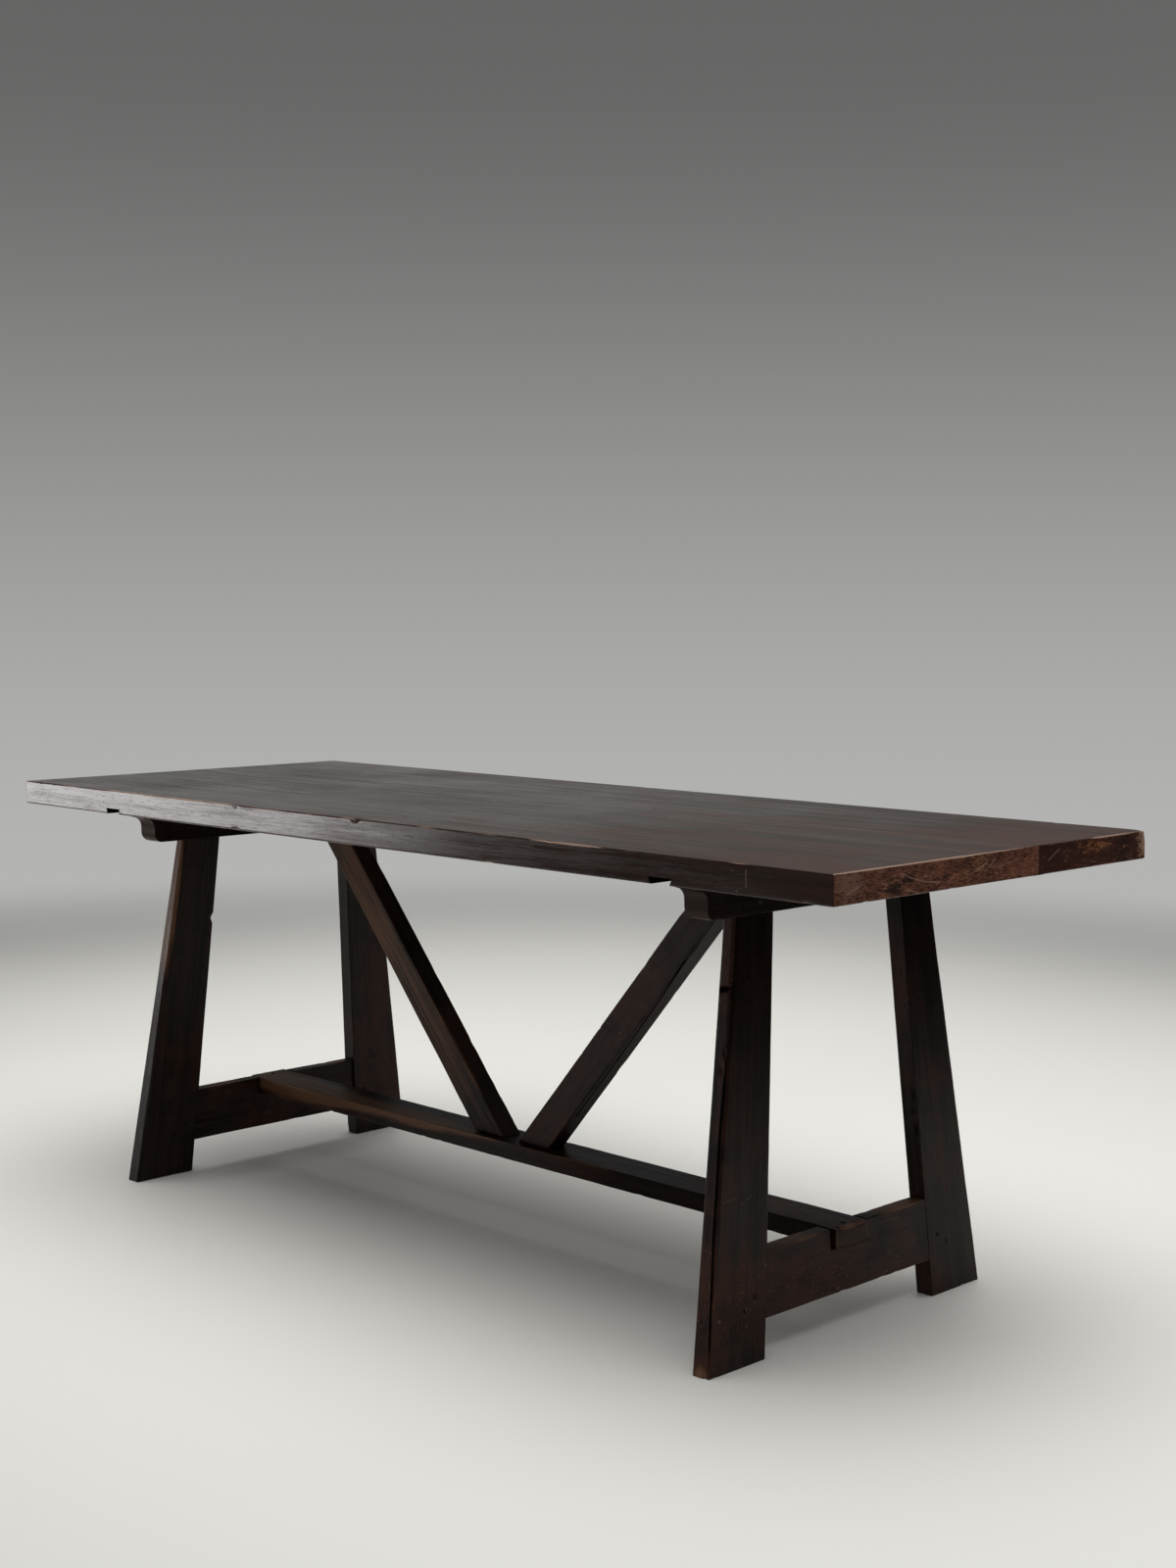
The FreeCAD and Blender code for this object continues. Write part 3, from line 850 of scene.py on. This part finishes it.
def peg(axis, start, stop, centre, radius, turn):
    """A peg along one axis. Its square section goes onto a disc, x times the root of one minus half of
    y squared and the other way round; facets swell the radius by a few percent."""
    lines = [np.linspace(-1, 1, SECTION_STATIONS)] * 3
    lines[axis] = np.linspace(-1, 1, PEG_STATIONS)
    points, quads = weld(block(lines))
    along, u, v = np.roll(points, -axis, axis=1).T
    disc_u, disc_v = u * np.sqrt(1 - v * v / 2), v * np.sqrt(1 - u * u / 2)
    swell = radius * (1 + FACET_SWELL * np.cos(PEG_FACETS * np.arctan2(disc_v, disc_u) + turn))
    at_end = np.abs(along) > ON_SKIN
    dome = np.where(at_end, np.sign(along) * (1 - disc_u ** 2 - disc_v ** 2), 0)
    placed = ((start + stop) / 2 + along * (stop - start) / 2 + PEG_DOME * dome,
              centre[0] + swell * disc_u, centre[1] + swell * disc_v)
    return np.roll(np.column_stack(placed), axis, axis=1), quads


def add_pegs(name, node, made):
    """Several pegs as one piece, with the faces' numbers shifted."""
    counts = np.cumsum([0] + [len(points) for points, _ in made])
    points = np.concatenate([points for points, _ in made])
    quads = np.concatenate([quads + start for (_, quads), start in zip(made, counts)])
    zeros = np.zeros(len(points))
    add_piece(name, points, quads, [node], "peg_timber", grain=points[:, [1, 0, 2]], ends=zeros,
              worn=zeros, dirt=zeros)


# %% Peg sets
PEG_PROUD = 0.0003
RAIL_PEG_RADIUS = 0.004
RAIL_PEGS = ((0.026, 0.037), (0.048, 0.021))
LAP_PEG_TURN = 0.4

for side, side_x in SIDES:
    made = []
    for side_y in (-1, 1):
        for number, (run, rise) in enumerate(RAIL_PEGS):
            z = RAIL_FLOOR_GAP + rise
            ends = sorted(side_x * (leg_at(z)[2] + shift)
                          for shift in (PEG_PROUD, -LEG_THICKNESS - PEG_PROUD))
            made.append(peg(0, *ends, (side_y * (rail_reach(z) + run), z), RAIL_PEG_RADIUS,
                            number + side_y))
    add_pegs(side + "_rail_peg_set", side + "_rail_pegs", made)

    low, high = solid_box(side + "_bearer_pegs")
    radius = (high[2] - low[2]) / 2
    made = [peg(0, low[0] - PEG_PROUD, high[0] + PEG_PROUD, (y, low[2] + radius), radius, y)
            for y in (low[1] + radius, high[1] - radius)]
    add_pegs(side + "_bearer_peg_set", side + "_bearer_pegs", made)

    low, high = solid_box(side + "_lap_peg")
    middle = (low + high) / 2
    made = [peg(2, low[2], high[2] + PEG_PROUD, middle[:2], high[0] - middle[0], LAP_PEG_TURN)]
    add_pegs(side + "_lap_peg_set", side + "_lap_peg", made)

# %% [markdown]
# ## Shader arithmetic
#
# The finishes are sums of a few noises. Node by node they would be hard to follow, so one class lets
# Python's own operators add the Math nodes, and one method makes every node from its type, its
# sockets and its settings.

# %% Wires


class Wire:
    """One output of a node. Sums, differences and products, also with numbers, add Math nodes."""

    def __init__(self, finish, socket):
        self.finish = finish
        self.socket = socket

    def __add__(self, other):
        return self.finish.math("ADD", self, other)

    def __sub__(self, other):
        return self.finish.math("SUBTRACT", self, other)

    def __rsub__(self, other):
        return self.finish.math("SUBTRACT", other, self)

    def __mul__(self, other):
        return self.finish.math("MULTIPLY", self, other)

    __radd__ = __add__
    __rmul__ = __mul__

    def larger(self, other):
        """The larger of two values."""
        return self.finish.math("MAXIMUM", self, other)


# %% Finishes


class Finish:
    """A material, or the background, that is built up node by node."""

    def __init__(self, owner):
        self.owner = owner
        owner.use_nodes = True
        self.tree = owner.node_tree
        self.tree.nodes.clear()

    def node(self, kind, sockets=None, out=0, **settings):
        """Adds a node: its settings, then a value or a wire per socket. Colours are red, green, blue."""
        made = self.tree.nodes.new("ShaderNode" + kind)
        for key, value in settings.items():
            setattr(made, key, value)
        for key, value in (sockets or {}).items():
            socket = made.inputs[key]
            if isinstance(value, Wire):
                self.tree.links.new(value.socket, socket)
            else:
                socket.default_value = (*value, 1) if socket.type == "RGBA" else value
        return Wire(self, made.outputs[out]) if made.outputs else None

    def math(self, operation, *values):
        """A Math node."""
        return self.node("Math", dict(enumerate(values)), operation=operation)

    def vector(self, operation, *values, out=0):
        """A Vector Math node."""
        return self.node("VectorMath", dict(enumerate(values)), out, operation=operation)

    def noise(self, place, scale, detail=3, rough=0.5, out=0):
        """Noise from 0 to 1 with its own scale along each axis, per metre."""
        stretched = self.vector("MULTIPLY", place, scale)
        sockets = {"Vector": stretched, "Scale": 1, "Detail": detail, "Roughness": rough}
        return self.node("TexNoise", sockets, out)

    def ease(self, value, low, high):
        """Smoothstep: 0 up to low, 1 from high."""
        return self.node("MapRange", {"Value": value, "From Min": low, "From Max": high},
                         interpolation_type="SMOOTHSTEP")

    def blend(self, share, first, second):
        """A mix of two colours."""
        return self.node("Mix", {0: share, 6: first, 7: second}, 2, data_type="RGBA")

    def coats(self, colour, *coats):
        """Coats over a colour, one after another: each is a share and the coat's colour."""
        for share, coat in coats:
            colour = self.blend(share, colour, coat)
        return colour


class Material(Finish):
    """A finish for meshes, with the place on the object."""

    def __init__(self, name):
        super().__init__(bpy.data.materials.new(name))
        self.place = self.node("TexCoord", out="Object")

    def surface(self, share=None, other=None, **sockets):
        """The Principled shader and the output. A share mixes in another shader, or else a matt one."""
        named = {key.replace("_", " "): value for key, value in sockets.items()}
        shader = self.node("BsdfPrincipled", named)
        if share is not None:
            other = other or self.node("BsdfDiffuse", {"Color": named["Base Color"]})
            shader = self.node("MixShader", {0: share, 1: shader, 2: other})
        self.node("OutputMaterial", {"Surface": shader})
        return self.owner


print("shader arithmetic is ready")

# %% [markdown]
# ## Stained timber
#
# The wood is dark stained and waxed. An image wrapped round a board would show its seams, so the
# figure is a solid pattern: noise stretched along the grain, which gives streaks on a face and
# speckle on an end. Over it come blotches, pores, paler wood on rubbed arrises and where highlights
# and sheen are painted, and black in hollows, cracks and painted shade, where a matt shader takes
# the shine away.

# %% Figure of the wood
GRAIN_WANDER = (0, 0.03, 0.03)
BUMP_DEPTH = 0.0006
LINE_CORE = 0.3


class Wood(Material):
    """A finish with the patterns that all timbers share."""

    def __init__(self, name):
        """Broad, streaky, fine and fibre noise along a wandering grain, blotches and pores."""
        super().__init__(name)
        grain = self.node("Attribute", out="Vector", attribute_name="grain")
        # The dark field holds dirt and painted shade, the pale field wear and painted highlights and
        # sheen.
        self.ends, self.worn, self.dirt = (self.node("Attribute", out="Fac", attribute_name=field)
                                           for field in ("ends", "worn", "dirt"))
        drift = self.noise(grain, (1.6, 7, 7), 2, out=1)
        self.wander = self.vector("MULTIPLY_ADD", drift, GRAIN_WANDER, grain)
        self.broad = self.noise(self.wander, (1.3, 34, 34))
        self.streak = self.noise(self.wander, (3.2, 85, 85), 4, 0.62)
        self.fine = self.noise(self.wander, (6, 210, 210), 4, 0.62)
        self.fibre = self.noise(self.wander, (26, 1200, 1200), 2)
        self.blotch = self.noise(self.place, (4, 5, 6), 4)
        self.pores = self.ease(self.noise(self.wander, (34, 900, 900), 1), 0.62, 0.7)

    def tone(self, broad, streak, fine, fibre):
        """A weighted sum of the four noises, about a middle of one half."""
        coarse = broad * (self.broad - 0.5) + streak * (self.streak - 0.5)
        return 0.5 + coarse + fine * (self.fine - 0.5) + fibre * (self.fibre - 0.5)

    def bump(self, strength):
        """Fine ridges and sunken pores."""
        height = 0.5 * self.fine + 0.35 * self.fibre - 0.5 * self.pores + 0.4 * self.broad
        return self.node("Bump", {"Strength": strength, "Distance": BUMP_DEPTH, "Height": height})

    def spot(self, centre, reach):
        """1 at a centre and 0 from its reach outwards: the distance, scaled per axis, then eased."""
        away = self.vector("DIVIDE", self.vector("SUBTRACT", self.place, centre), reach)
        return 1 - self.ease(self.vector("LENGTH", away, out="Value"), 0, 1)

    def line(self, start, end, width):
        """1 on the straight line from start to end and 0 a width away: the share of the way along is
        held between 0 and 1, and what is left of the way is the distance."""
        reach = np.subtract(end, start)
        away = self.vector("SUBTRACT", self.place, start)
        share = self.vector("DOT_PRODUCT", away, reach / (reach @ reach), out="Value")
        held = self.node("Clamp", {"Value": share})
        along = self.node("VectorMath", {0: reach, "Scale": held}, operation="SCALE")
        far = self.vector("LENGTH", self.vector("SUBTRACT", away, along), out="Value")
        return 1 - self.ease(far, LINE_CORE * width, width)


print("wood has a figure of six noises")

# %% Frame finish
# Black for dark dents, joint lines and cracks, and for painted shade.
BLACK_DIRT_AND_SHADE = (0.002, 0.0016, 0.0014)
PALE_SPECK = (0.13, 0.12, 0.115)
SCRATCH_WIDTH = 0.0012
FRAME_SCRATCHES = [((0.7423, -0.2485, 0.238), (0.7418, -0.222, 0.247)),
                   ((0.7418, -0.286, 0.248), (0.7417, -0.254, 0.251))]
FRAME_CRACKS = [
    ([(0.4193, -0.0194, 0.5306), (0.3465, -0.0114, 0.4474), (0.2505, -0.0077, 0.3377),
      (0.1527, -0.0072, 0.2258)], (0.004, 0.004, 0.0034)),
    ([(0.7277, -0.2611, 0.476), (0.7302, -0.2806, 0.343), (0.7392, -0.3029, 0.191),
      (0.749, -0.32, 0.0743), (0.7508, -0.3232, 0.04), (0.7526, -0.3268, 0.004)],
     (0.004, 0.0038, 0.0034, 0.0028, 0.0024)),
]


def stained_frame(name, deep, brown, ruddy, bare_and_highlight, sawn, gloss):
    """Dark stain with ruddy patches, paler wear and painted sheen, duller sawn ends, black hollows and
    painted shade.
    """
    wood = Wood(name)
    streaks = wood.ease(wood.tone(1.2, 1.1, 1.3, 0.6), 0.12, 0.88)
    redness = wood.ease(wood.blotch + 0.4 * (wood.streak - 0.5), 0.4, 0.66)
    stain = wood.ease(wood.noise(wood.place, (14, 14, 18), 5), 0.5, 0.68)
    flecks = wood.ease(wood.noise(wood.wander, (38, 260, 260), 2), 0.64, 0.7)
    specks = wood.ease(wood.noise(wood.place, (170, 170, 170), 1), 0.7, 0.76)
    patchy = 1.2 * (wood.fine - 0.5) + 0.7 * (wood.streak - 0.5) + 0.5 * (wood.blotch - 0.5)
    # Paler where worn, and where sheen or light is painted on the legs, the left brace and the
    # stretcher.
    rubbed_and_lit = wood.ease(wood.worn + patchy, 0.3, 0.95)
    # Black in dark dents, joint lines and cracks, and where shade is painted.
    hollow = wood.dirt
    for crack, widths in FRAME_CRACKS:
        for start, end, width in zip(crack, crack[1:], widths):
            hollow = hollow.larger(wood.line(start, end, width))
    colour = wood.coats(
        wood.blend(streaks, deep, brown),
        (redness * (0.35 + 0.8 * wood.fine), ruddy),
        (stain * 0.6, deep),
        (wood.pores * 0.7, deep),
        (wood.ends * 0.7, sawn),
        (flecks * wood.ease(wood.blotch, 0.42, 0.6) * 0.2, bare_and_highlight),
        (specks * wood.ease(wood.blotch, 0.5, 0.6) * 0.5, PALE_SPECK),
        (rubbed_and_lit * 0.75, bare_and_highlight),
        *((wood.line(*ends, SCRATCH_WIDTH) * 0.35, bare_and_highlight) for ends in FRAME_SCRATCHES),
        (hollow, BLACK_DIRT_AND_SHADE))
    roughness = gloss + 0.25 * (wood.blotch - 0.5) + 0.4 * (wood.streak - 0.5) + 0.25 * wood.pores
    return wood.surface(hollow.larger(0.5 * wood.ends), Base_Color=colour, Roughness=roughness,
                        Specular_IOR_Level=0.11, Normal=wood.bump(0.6))


frame_finish = stained_frame(
    "stained_frame", deep=(0.003, 0.0021, 0.0018), brown=(0.022, 0.0115, 0.0085),
    ruddy=(0.044, 0.0138, 0.0083), bare_and_highlight=(0.16, 0.08, 0.044), sawn=(0.04, 0.028, 0.022), gloss=0.38)
peg_finish = stained_frame(
    "peg_ends", deep=(0.002, 0.0014, 0.0012), brown=(0.006, 0.0036, 0.0028),
    ruddy=(0.01, 0.0045, 0.003), bare_and_highlight=(0.04, 0.023, 0.013), sawn=(0.005, 0.003, 0.0025), gloss=0.55)
print("frame and pegs:", len(frame_finish.node_tree.nodes), "nodes each")

# %% [markdown]
# ## The waxed top
#
# The top is the same wood, waxed for longer, so it is ruddier and glossier, most of all at the
# right. Its end grain is paler, mottled and scratched. Noise alone could scatter such marks, but
# here they stand where the real ones do.

# %% End grain
END_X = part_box("front_top_board")[1][0]
SEAM_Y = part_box("front_top_board")[1][1]
SEAM_BLUR = 0.0002
ZONE_DEPTH = 0.03
ZONE_RISE = 0.32
DARK_RED = (0.028, 0.0066, 0.0038)
END_ZONES = [
    ((-0.35, 0.74), (0.06, 0.04), 0.6, 0.3, (0.155, 0.08, 0.056)),
    ((-0.256, 0.728), (0.045, 0.03), -1, 0.3, (0.014, 0.007, 0.0055)),
    ((-0.225, 0.74), (0.025, 0.016), -1, 0.3, (0.014, 0.007, 0.0055)),
    ((-0.05, 0.74), (0.16, 0.04), 1, 0.9, (0.24, 0.115, 0.07)),
    ((0.235, 0.746), (0.1, 0.03), 1, 0.78, (0.23, 0.08, 0.028)),
    ((0.318, 0.738), (0.034, 0.05), -1, 0.35, (0.018, 0.007, 0.005)),
    ((0.374, 0.742), (0.028, 0.05), 1, 0.4, (0.26, 0.15, 0.092)),
]


def end_grain(wood, across, deep, ruddy, tan):
    """Ruddy and tan mottling, a darker rear plank, and zones at set places, ragged because the
    mottling shifts where each one starts."""
    mottle = wood.noise(wood.place, (20, 36, 70), 6)
    thread = wood.noise(wood.place, (90, 110, 520))
    speck = wood.noise(wood.place, (300, 420, 700), 2)
    tone = 0.5 + 0.6 * (mottle - 0.5) + 0.9 * (thread - 0.5) + 0.6 * (speck - 0.5)
    rear = wood.ease(across, SEAM_Y - SEAM_BLUR, SEAM_Y + SEAM_BLUR)
    beside_seam = 1 - wood.ease(across + 0.15 * (mottle - 0.5), 0.14, 0.2)
    colour = wood.coats(
        wood.blend(wood.ease(tone, 0.3, 0.8), ruddy, tan),
        ((1 - wood.ease(tone, 0.28, 0.48)) * 0.55, deep),
        (rear * (0.82 + 0.13 * beside_seam), DARK_RED))
    for centre, reach, way, start, shade in END_ZONES:
        near = wood.spot((END_X, *centre), (ZONE_DEPTH, *reach))
        ragged = 0.9 * near + 2.4 * (tone - 0.5) * way
        colour = wood.blend(wood.ease(ragged, start, start + ZONE_RISE) * 0.85, colour, shade)
    return colour


print("end zones:", len(END_ZONES))

# %% Top finish
TOP_HALF_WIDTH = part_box("rear_top_board")[1][1]
EDGE_FROM = TOP_HALF_WIDTH - 0.0025
EDGE_TO = TOP_HALF_WIDTH - 0.0003
END_SCRATCH = 0.42
EDGE_SCRATCH = 0.3
END_SCRATCHES = [
    ((-0.235, 0.748), (-0.216, 0.74)), ((-0.216, 0.74), (-0.185, 0.732)),
    ((-0.185, 0.732), (-0.15, 0.728)), ((-0.354, 0.73), (-0.33, 0.738)),
    ((-0.067, 0.735), (-0.038, 0.747)), ((-0.045, 0.733), (-0.02, 0.748)),
    ((0.115, 0.736), (0.143, 0.75)), ((-0.226, 0.724), (-0.198, 0.718)),
]
EDGE_SCRATCHES = [
    ((0.8653, -0.381, 0.7516), (0.8655, -0.381, 0.729)),
    ((0.8388, -0.381, 0.7492), (0.8408, -0.381, 0.7492)),
    ((0.8479, -0.381, 0.7219), (0.8499, -0.381, 0.7219)),
]


def waxed_top(name, deep, brown, ruddy, bare_and_highlight, tan):
    """Streaky face, ruddier to the right, painted shade on the long edges towards the right, painted
    arris highlights, and mottled tan end grain.
    """
    wood = Wood(name)
    right = wood.node("SeparateXYZ", {0: wood.place}, "X")
    across = wood.node("SeparateXYZ", {0: wood.place}, "Y")
    edge = wood.ease(wood.math("ABSOLUTE", across), EDGE_FROM, EDGE_TO)
    # Painted shade: the long edges get darker towards the right.
    shade = edge * wood.ease(right, -0.3, 0.5)
    streaks = wood.ease(wood.tone(1.9, 1.4, 1.4, 0.6), 0.12, 0.88)
    warm = 0.4 * wood.blotch + 0.3 * wood.broad + 0.3 * wood.streak + 0.2 * right
    # Paler where worn, and along the painted highlights on the front top arris and the right end's top
    # arris.
    rubbed_and_lit = wood.ease(wood.worn + 0.6 * (wood.fine - 0.5), 0.3, 0.85)
    scratches = [((END_X, *start), (END_X, *end), END_SCRATCH) for start, end in END_SCRATCHES]
    scratches += [(start, end, EDGE_SCRATCH) for start, end in EDGE_SCRATCHES]
    colour = wood.coats(
        wood.blend(streaks, deep, brown),
        (wood.ease(warm, 0.48, 0.86) * 0.8, ruddy),
        (wood.pores * 0.5, deep),
        (edge * 0.6, ruddy),
        (shade * (0.25 + 0.9 * wood.fine), deep),
        (wood.ends, end_grain(wood, across, deep, ruddy, tan)),
        *((wood.line(start, end, SCRATCH_WIDTH) * strength, bare_and_highlight) for start, end, strength in scratches),
        (rubbed_and_lit * 0.8, bare_and_highlight),
        # Black in dark dents and as painted shade in the grooves.
        (wood.dirt, BLACK_DIRT_AND_SHADE))
    satin = 0.2 + 0.25 * (wood.blotch - 0.5) + 0.35 * (wood.streak - 0.5) + 0.35 * (wood.fine - 0.5)
    duller = 0.16 * wood.ease(right, 0, 0.9) * (1 - edge)
    roughness = satin + duller + 0.08 * wood.pores + 0.2 * wood.ends
    return wood.surface(wood.dirt.larger(0.65 * wood.ends), Base_Color=colour, Roughness=roughness,
                        Specular_IOR_Level=0.35, Normal=wood.bump(0.1))


# The pale colour is also the colour of the painted highlights on the top's arrises.
top_finish = waxed_top(
    "waxed_top", deep=(0.0075, 0.0048, 0.0038), brown=(0.044, 0.027, 0.0185),
    ruddy=(0.066, 0.0228, 0.0132), bare_and_highlight=(0.42, 0.28, 0.21), tan=(0.2, 0.08, 0.049))
for name, piece in pieces.items():
    chosen = top_finish if "plank" in name else peg_finish if "peg" in name else frame_finish
    piece.data.materials.append(chosen)
print("finishes given to", len(pieces), "pieces")

# %% [markdown]
# ## Nails and dowels
#
# The nails in the brace heads are forged iron, dark with scale, and the dowels sit inside the joint
# of the top. New meshes would add nothing, so both keep their solids. Their finish reads Object
# coordinates, because they have no grain of their own.

# %% Iron and dowel finish


def forged_iron():
    """Dark scale with brown rust where a slow noise is high."""
    finish = Material("forged_iron")
    scale = finish.noise(finish.place, (300, 300, 300), 4)
    rust = finish.ease(finish.noise(finish.place, (120, 120, 120)), 0.5, 0.68)
    colour = finish.blend(rust, (0.032, 0.028, 0.026), (0.06, 0.028, 0.016))
    normal = finish.node("Bump", {"Strength": 0.4, "Distance": 0.0004, "Height": scale})
    return finish.surface(Base_Color=colour, Roughness=0.5 + 0.3 * scale,
                          Metallic=0.85 - 0.7 * rust, Normal=normal)


def dowel_wood():
    """Plain split wood with streaks along the dowel."""
    finish = Material("dowel_wood")
    fine = finish.noise(finish.place, (500, 30, 500))
    colour = finish.blend(fine, (0.05, 0.03, 0.02), (0.16, 0.1, 0.06))
    return finish.surface(Base_Color=colour, Roughness=0.55 + 0.2 * fine)


iron, dowels = forged_iron(), dowel_wood()
for name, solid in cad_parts.items():
    solid.data.materials.clear()
    solid.data.materials.append(iron if "nails" in name else dowels)
print("solids with a finish:", len(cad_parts))

# %% [markdown]
# ## Floor, light and background
#
# A plain pale floor and soft studio light. A low soft box with a grid stands at the left front, as
# the glow on the front edge shows, and below the top, because light that rakes over it would show
# every wave. A large one hangs above. A paper sweep could stand behind, but a grey background serves
# every view. It is lighter low down and dim on the near side, which the waxed top mirrors, and the
# floor fades into it, so no horizon cuts the picture.

# %% Floor
FLOOR_HALF = 12
FLOOR_STATIONS = 9
FADE_CENTRE = (-0.4, 0.1, 0)
FADE_START = 2.7
FADE_END = 4.8


def pale_floor():
    """Pale, slightly uneven in gloss, and clear beyond the fade."""
    finish = Material("pale_floor")
    cloud = finish.noise(finish.place, (0.7, 0.7, 0.7))
    colour = finish.blend(cloud, (0.81, 0.8, 0.755), (0.85, 0.84, 0.795))
    far = finish.vector("DISTANCE", finish.place, FADE_CENTRE, out="Value")
    fade = finish.ease(far, FADE_START, FADE_END)
    return finish.surface(fade, finish.node("BsdfTransparent"), Base_Color=colour,
                          Roughness=0.45 + 0.1 * cloud)


floor_line = np.linspace(-FLOOR_HALF, FLOOR_HALF, FLOOR_STATIONS)
floor_points, floor_quads = weld([face(2, 0, floor_line, floor_line, 1)])
floor_mesh = bpy.data.meshes.new("floor")
floor_mesh.from_pydata(floor_points.tolist(), [], floor_quads.tolist())
floor_mesh.materials.append(pale_floor())
floor = new_object("floor", floor_mesh)
print("floor:", len(floor_quads), "faces")

# %% Lights


def soft_box(name, place, aim, width, height, power, fan):
    """A rectangular lamp whose grid narrows its light to a fan of degrees. It faces the aim and is not
    seen itself."""
    lamp = bpy.data.lights.new(name, "AREA")
    lamp.shape = "RECTANGLE"
    lamp.size = width
    lamp.size_y = height
    lamp.energy = power
    lamp.spread = radians(fan)
    holder = new_object(name, lamp)
    holder.location = place
    holder.rotation_euler = (Vector(aim) - Vector(place)).to_track_quat("-Z", "Y").to_euler()
    holder.visible_camera = False
    print(name, power, "watts")


soft_box("left_soft_box", place=(-4, -2.55, 0.45), aim=(0, 0, 0.5),
         width=2, height=0.62, power=1.6, fan=40)
soft_box("overhead_soft_box", place=(0, 0.45, 3.1), aim=(0, 0.45, 0),
         width=6, height=5.2, power=96, fan=90)

# %% Background
LOW_GREY = 0.46
HIGH_GREY = 0.13
NEAR_SIDE = 0.13
BACK_WAY = (-0.713, 0.701, 0)
WARMTH = 0.985


def studio_grey():
    """Grey that falls upwards from the horizon and is dim on the camera's side."""
    finish = Finish(bpy.data.worlds.new("studio_grey"))
    way = finish.node("TexCoord", out="Generated")
    height = finish.node("SeparateXYZ", {0: way}, "Z")
    back = finish.vector("DOT_PRODUCT", way, BACK_WAY, out="Value")
    grey = LOW_GREY + (HIGH_GREY - LOW_GREY) * finish.ease(height, -0.15, 0.26)
    level = NEAR_SIDE + (grey - NEAR_SIDE) * finish.ease(back, 0.3, 0.85)
    colour = finish.node("CombineColor", {0: level, 1: level, 2: level * WARMTH})
    light = finish.node("Background", {"Color": colour})
    finish.node("OutputWorld", {"Surface": light})
    return finish.owner


bpy.context.scene.world = studio_grey()
bpy.context.scene.view_settings.view_transform = "Standard"
print("background from", LOW_GREY, "to", HIGH_GREY)
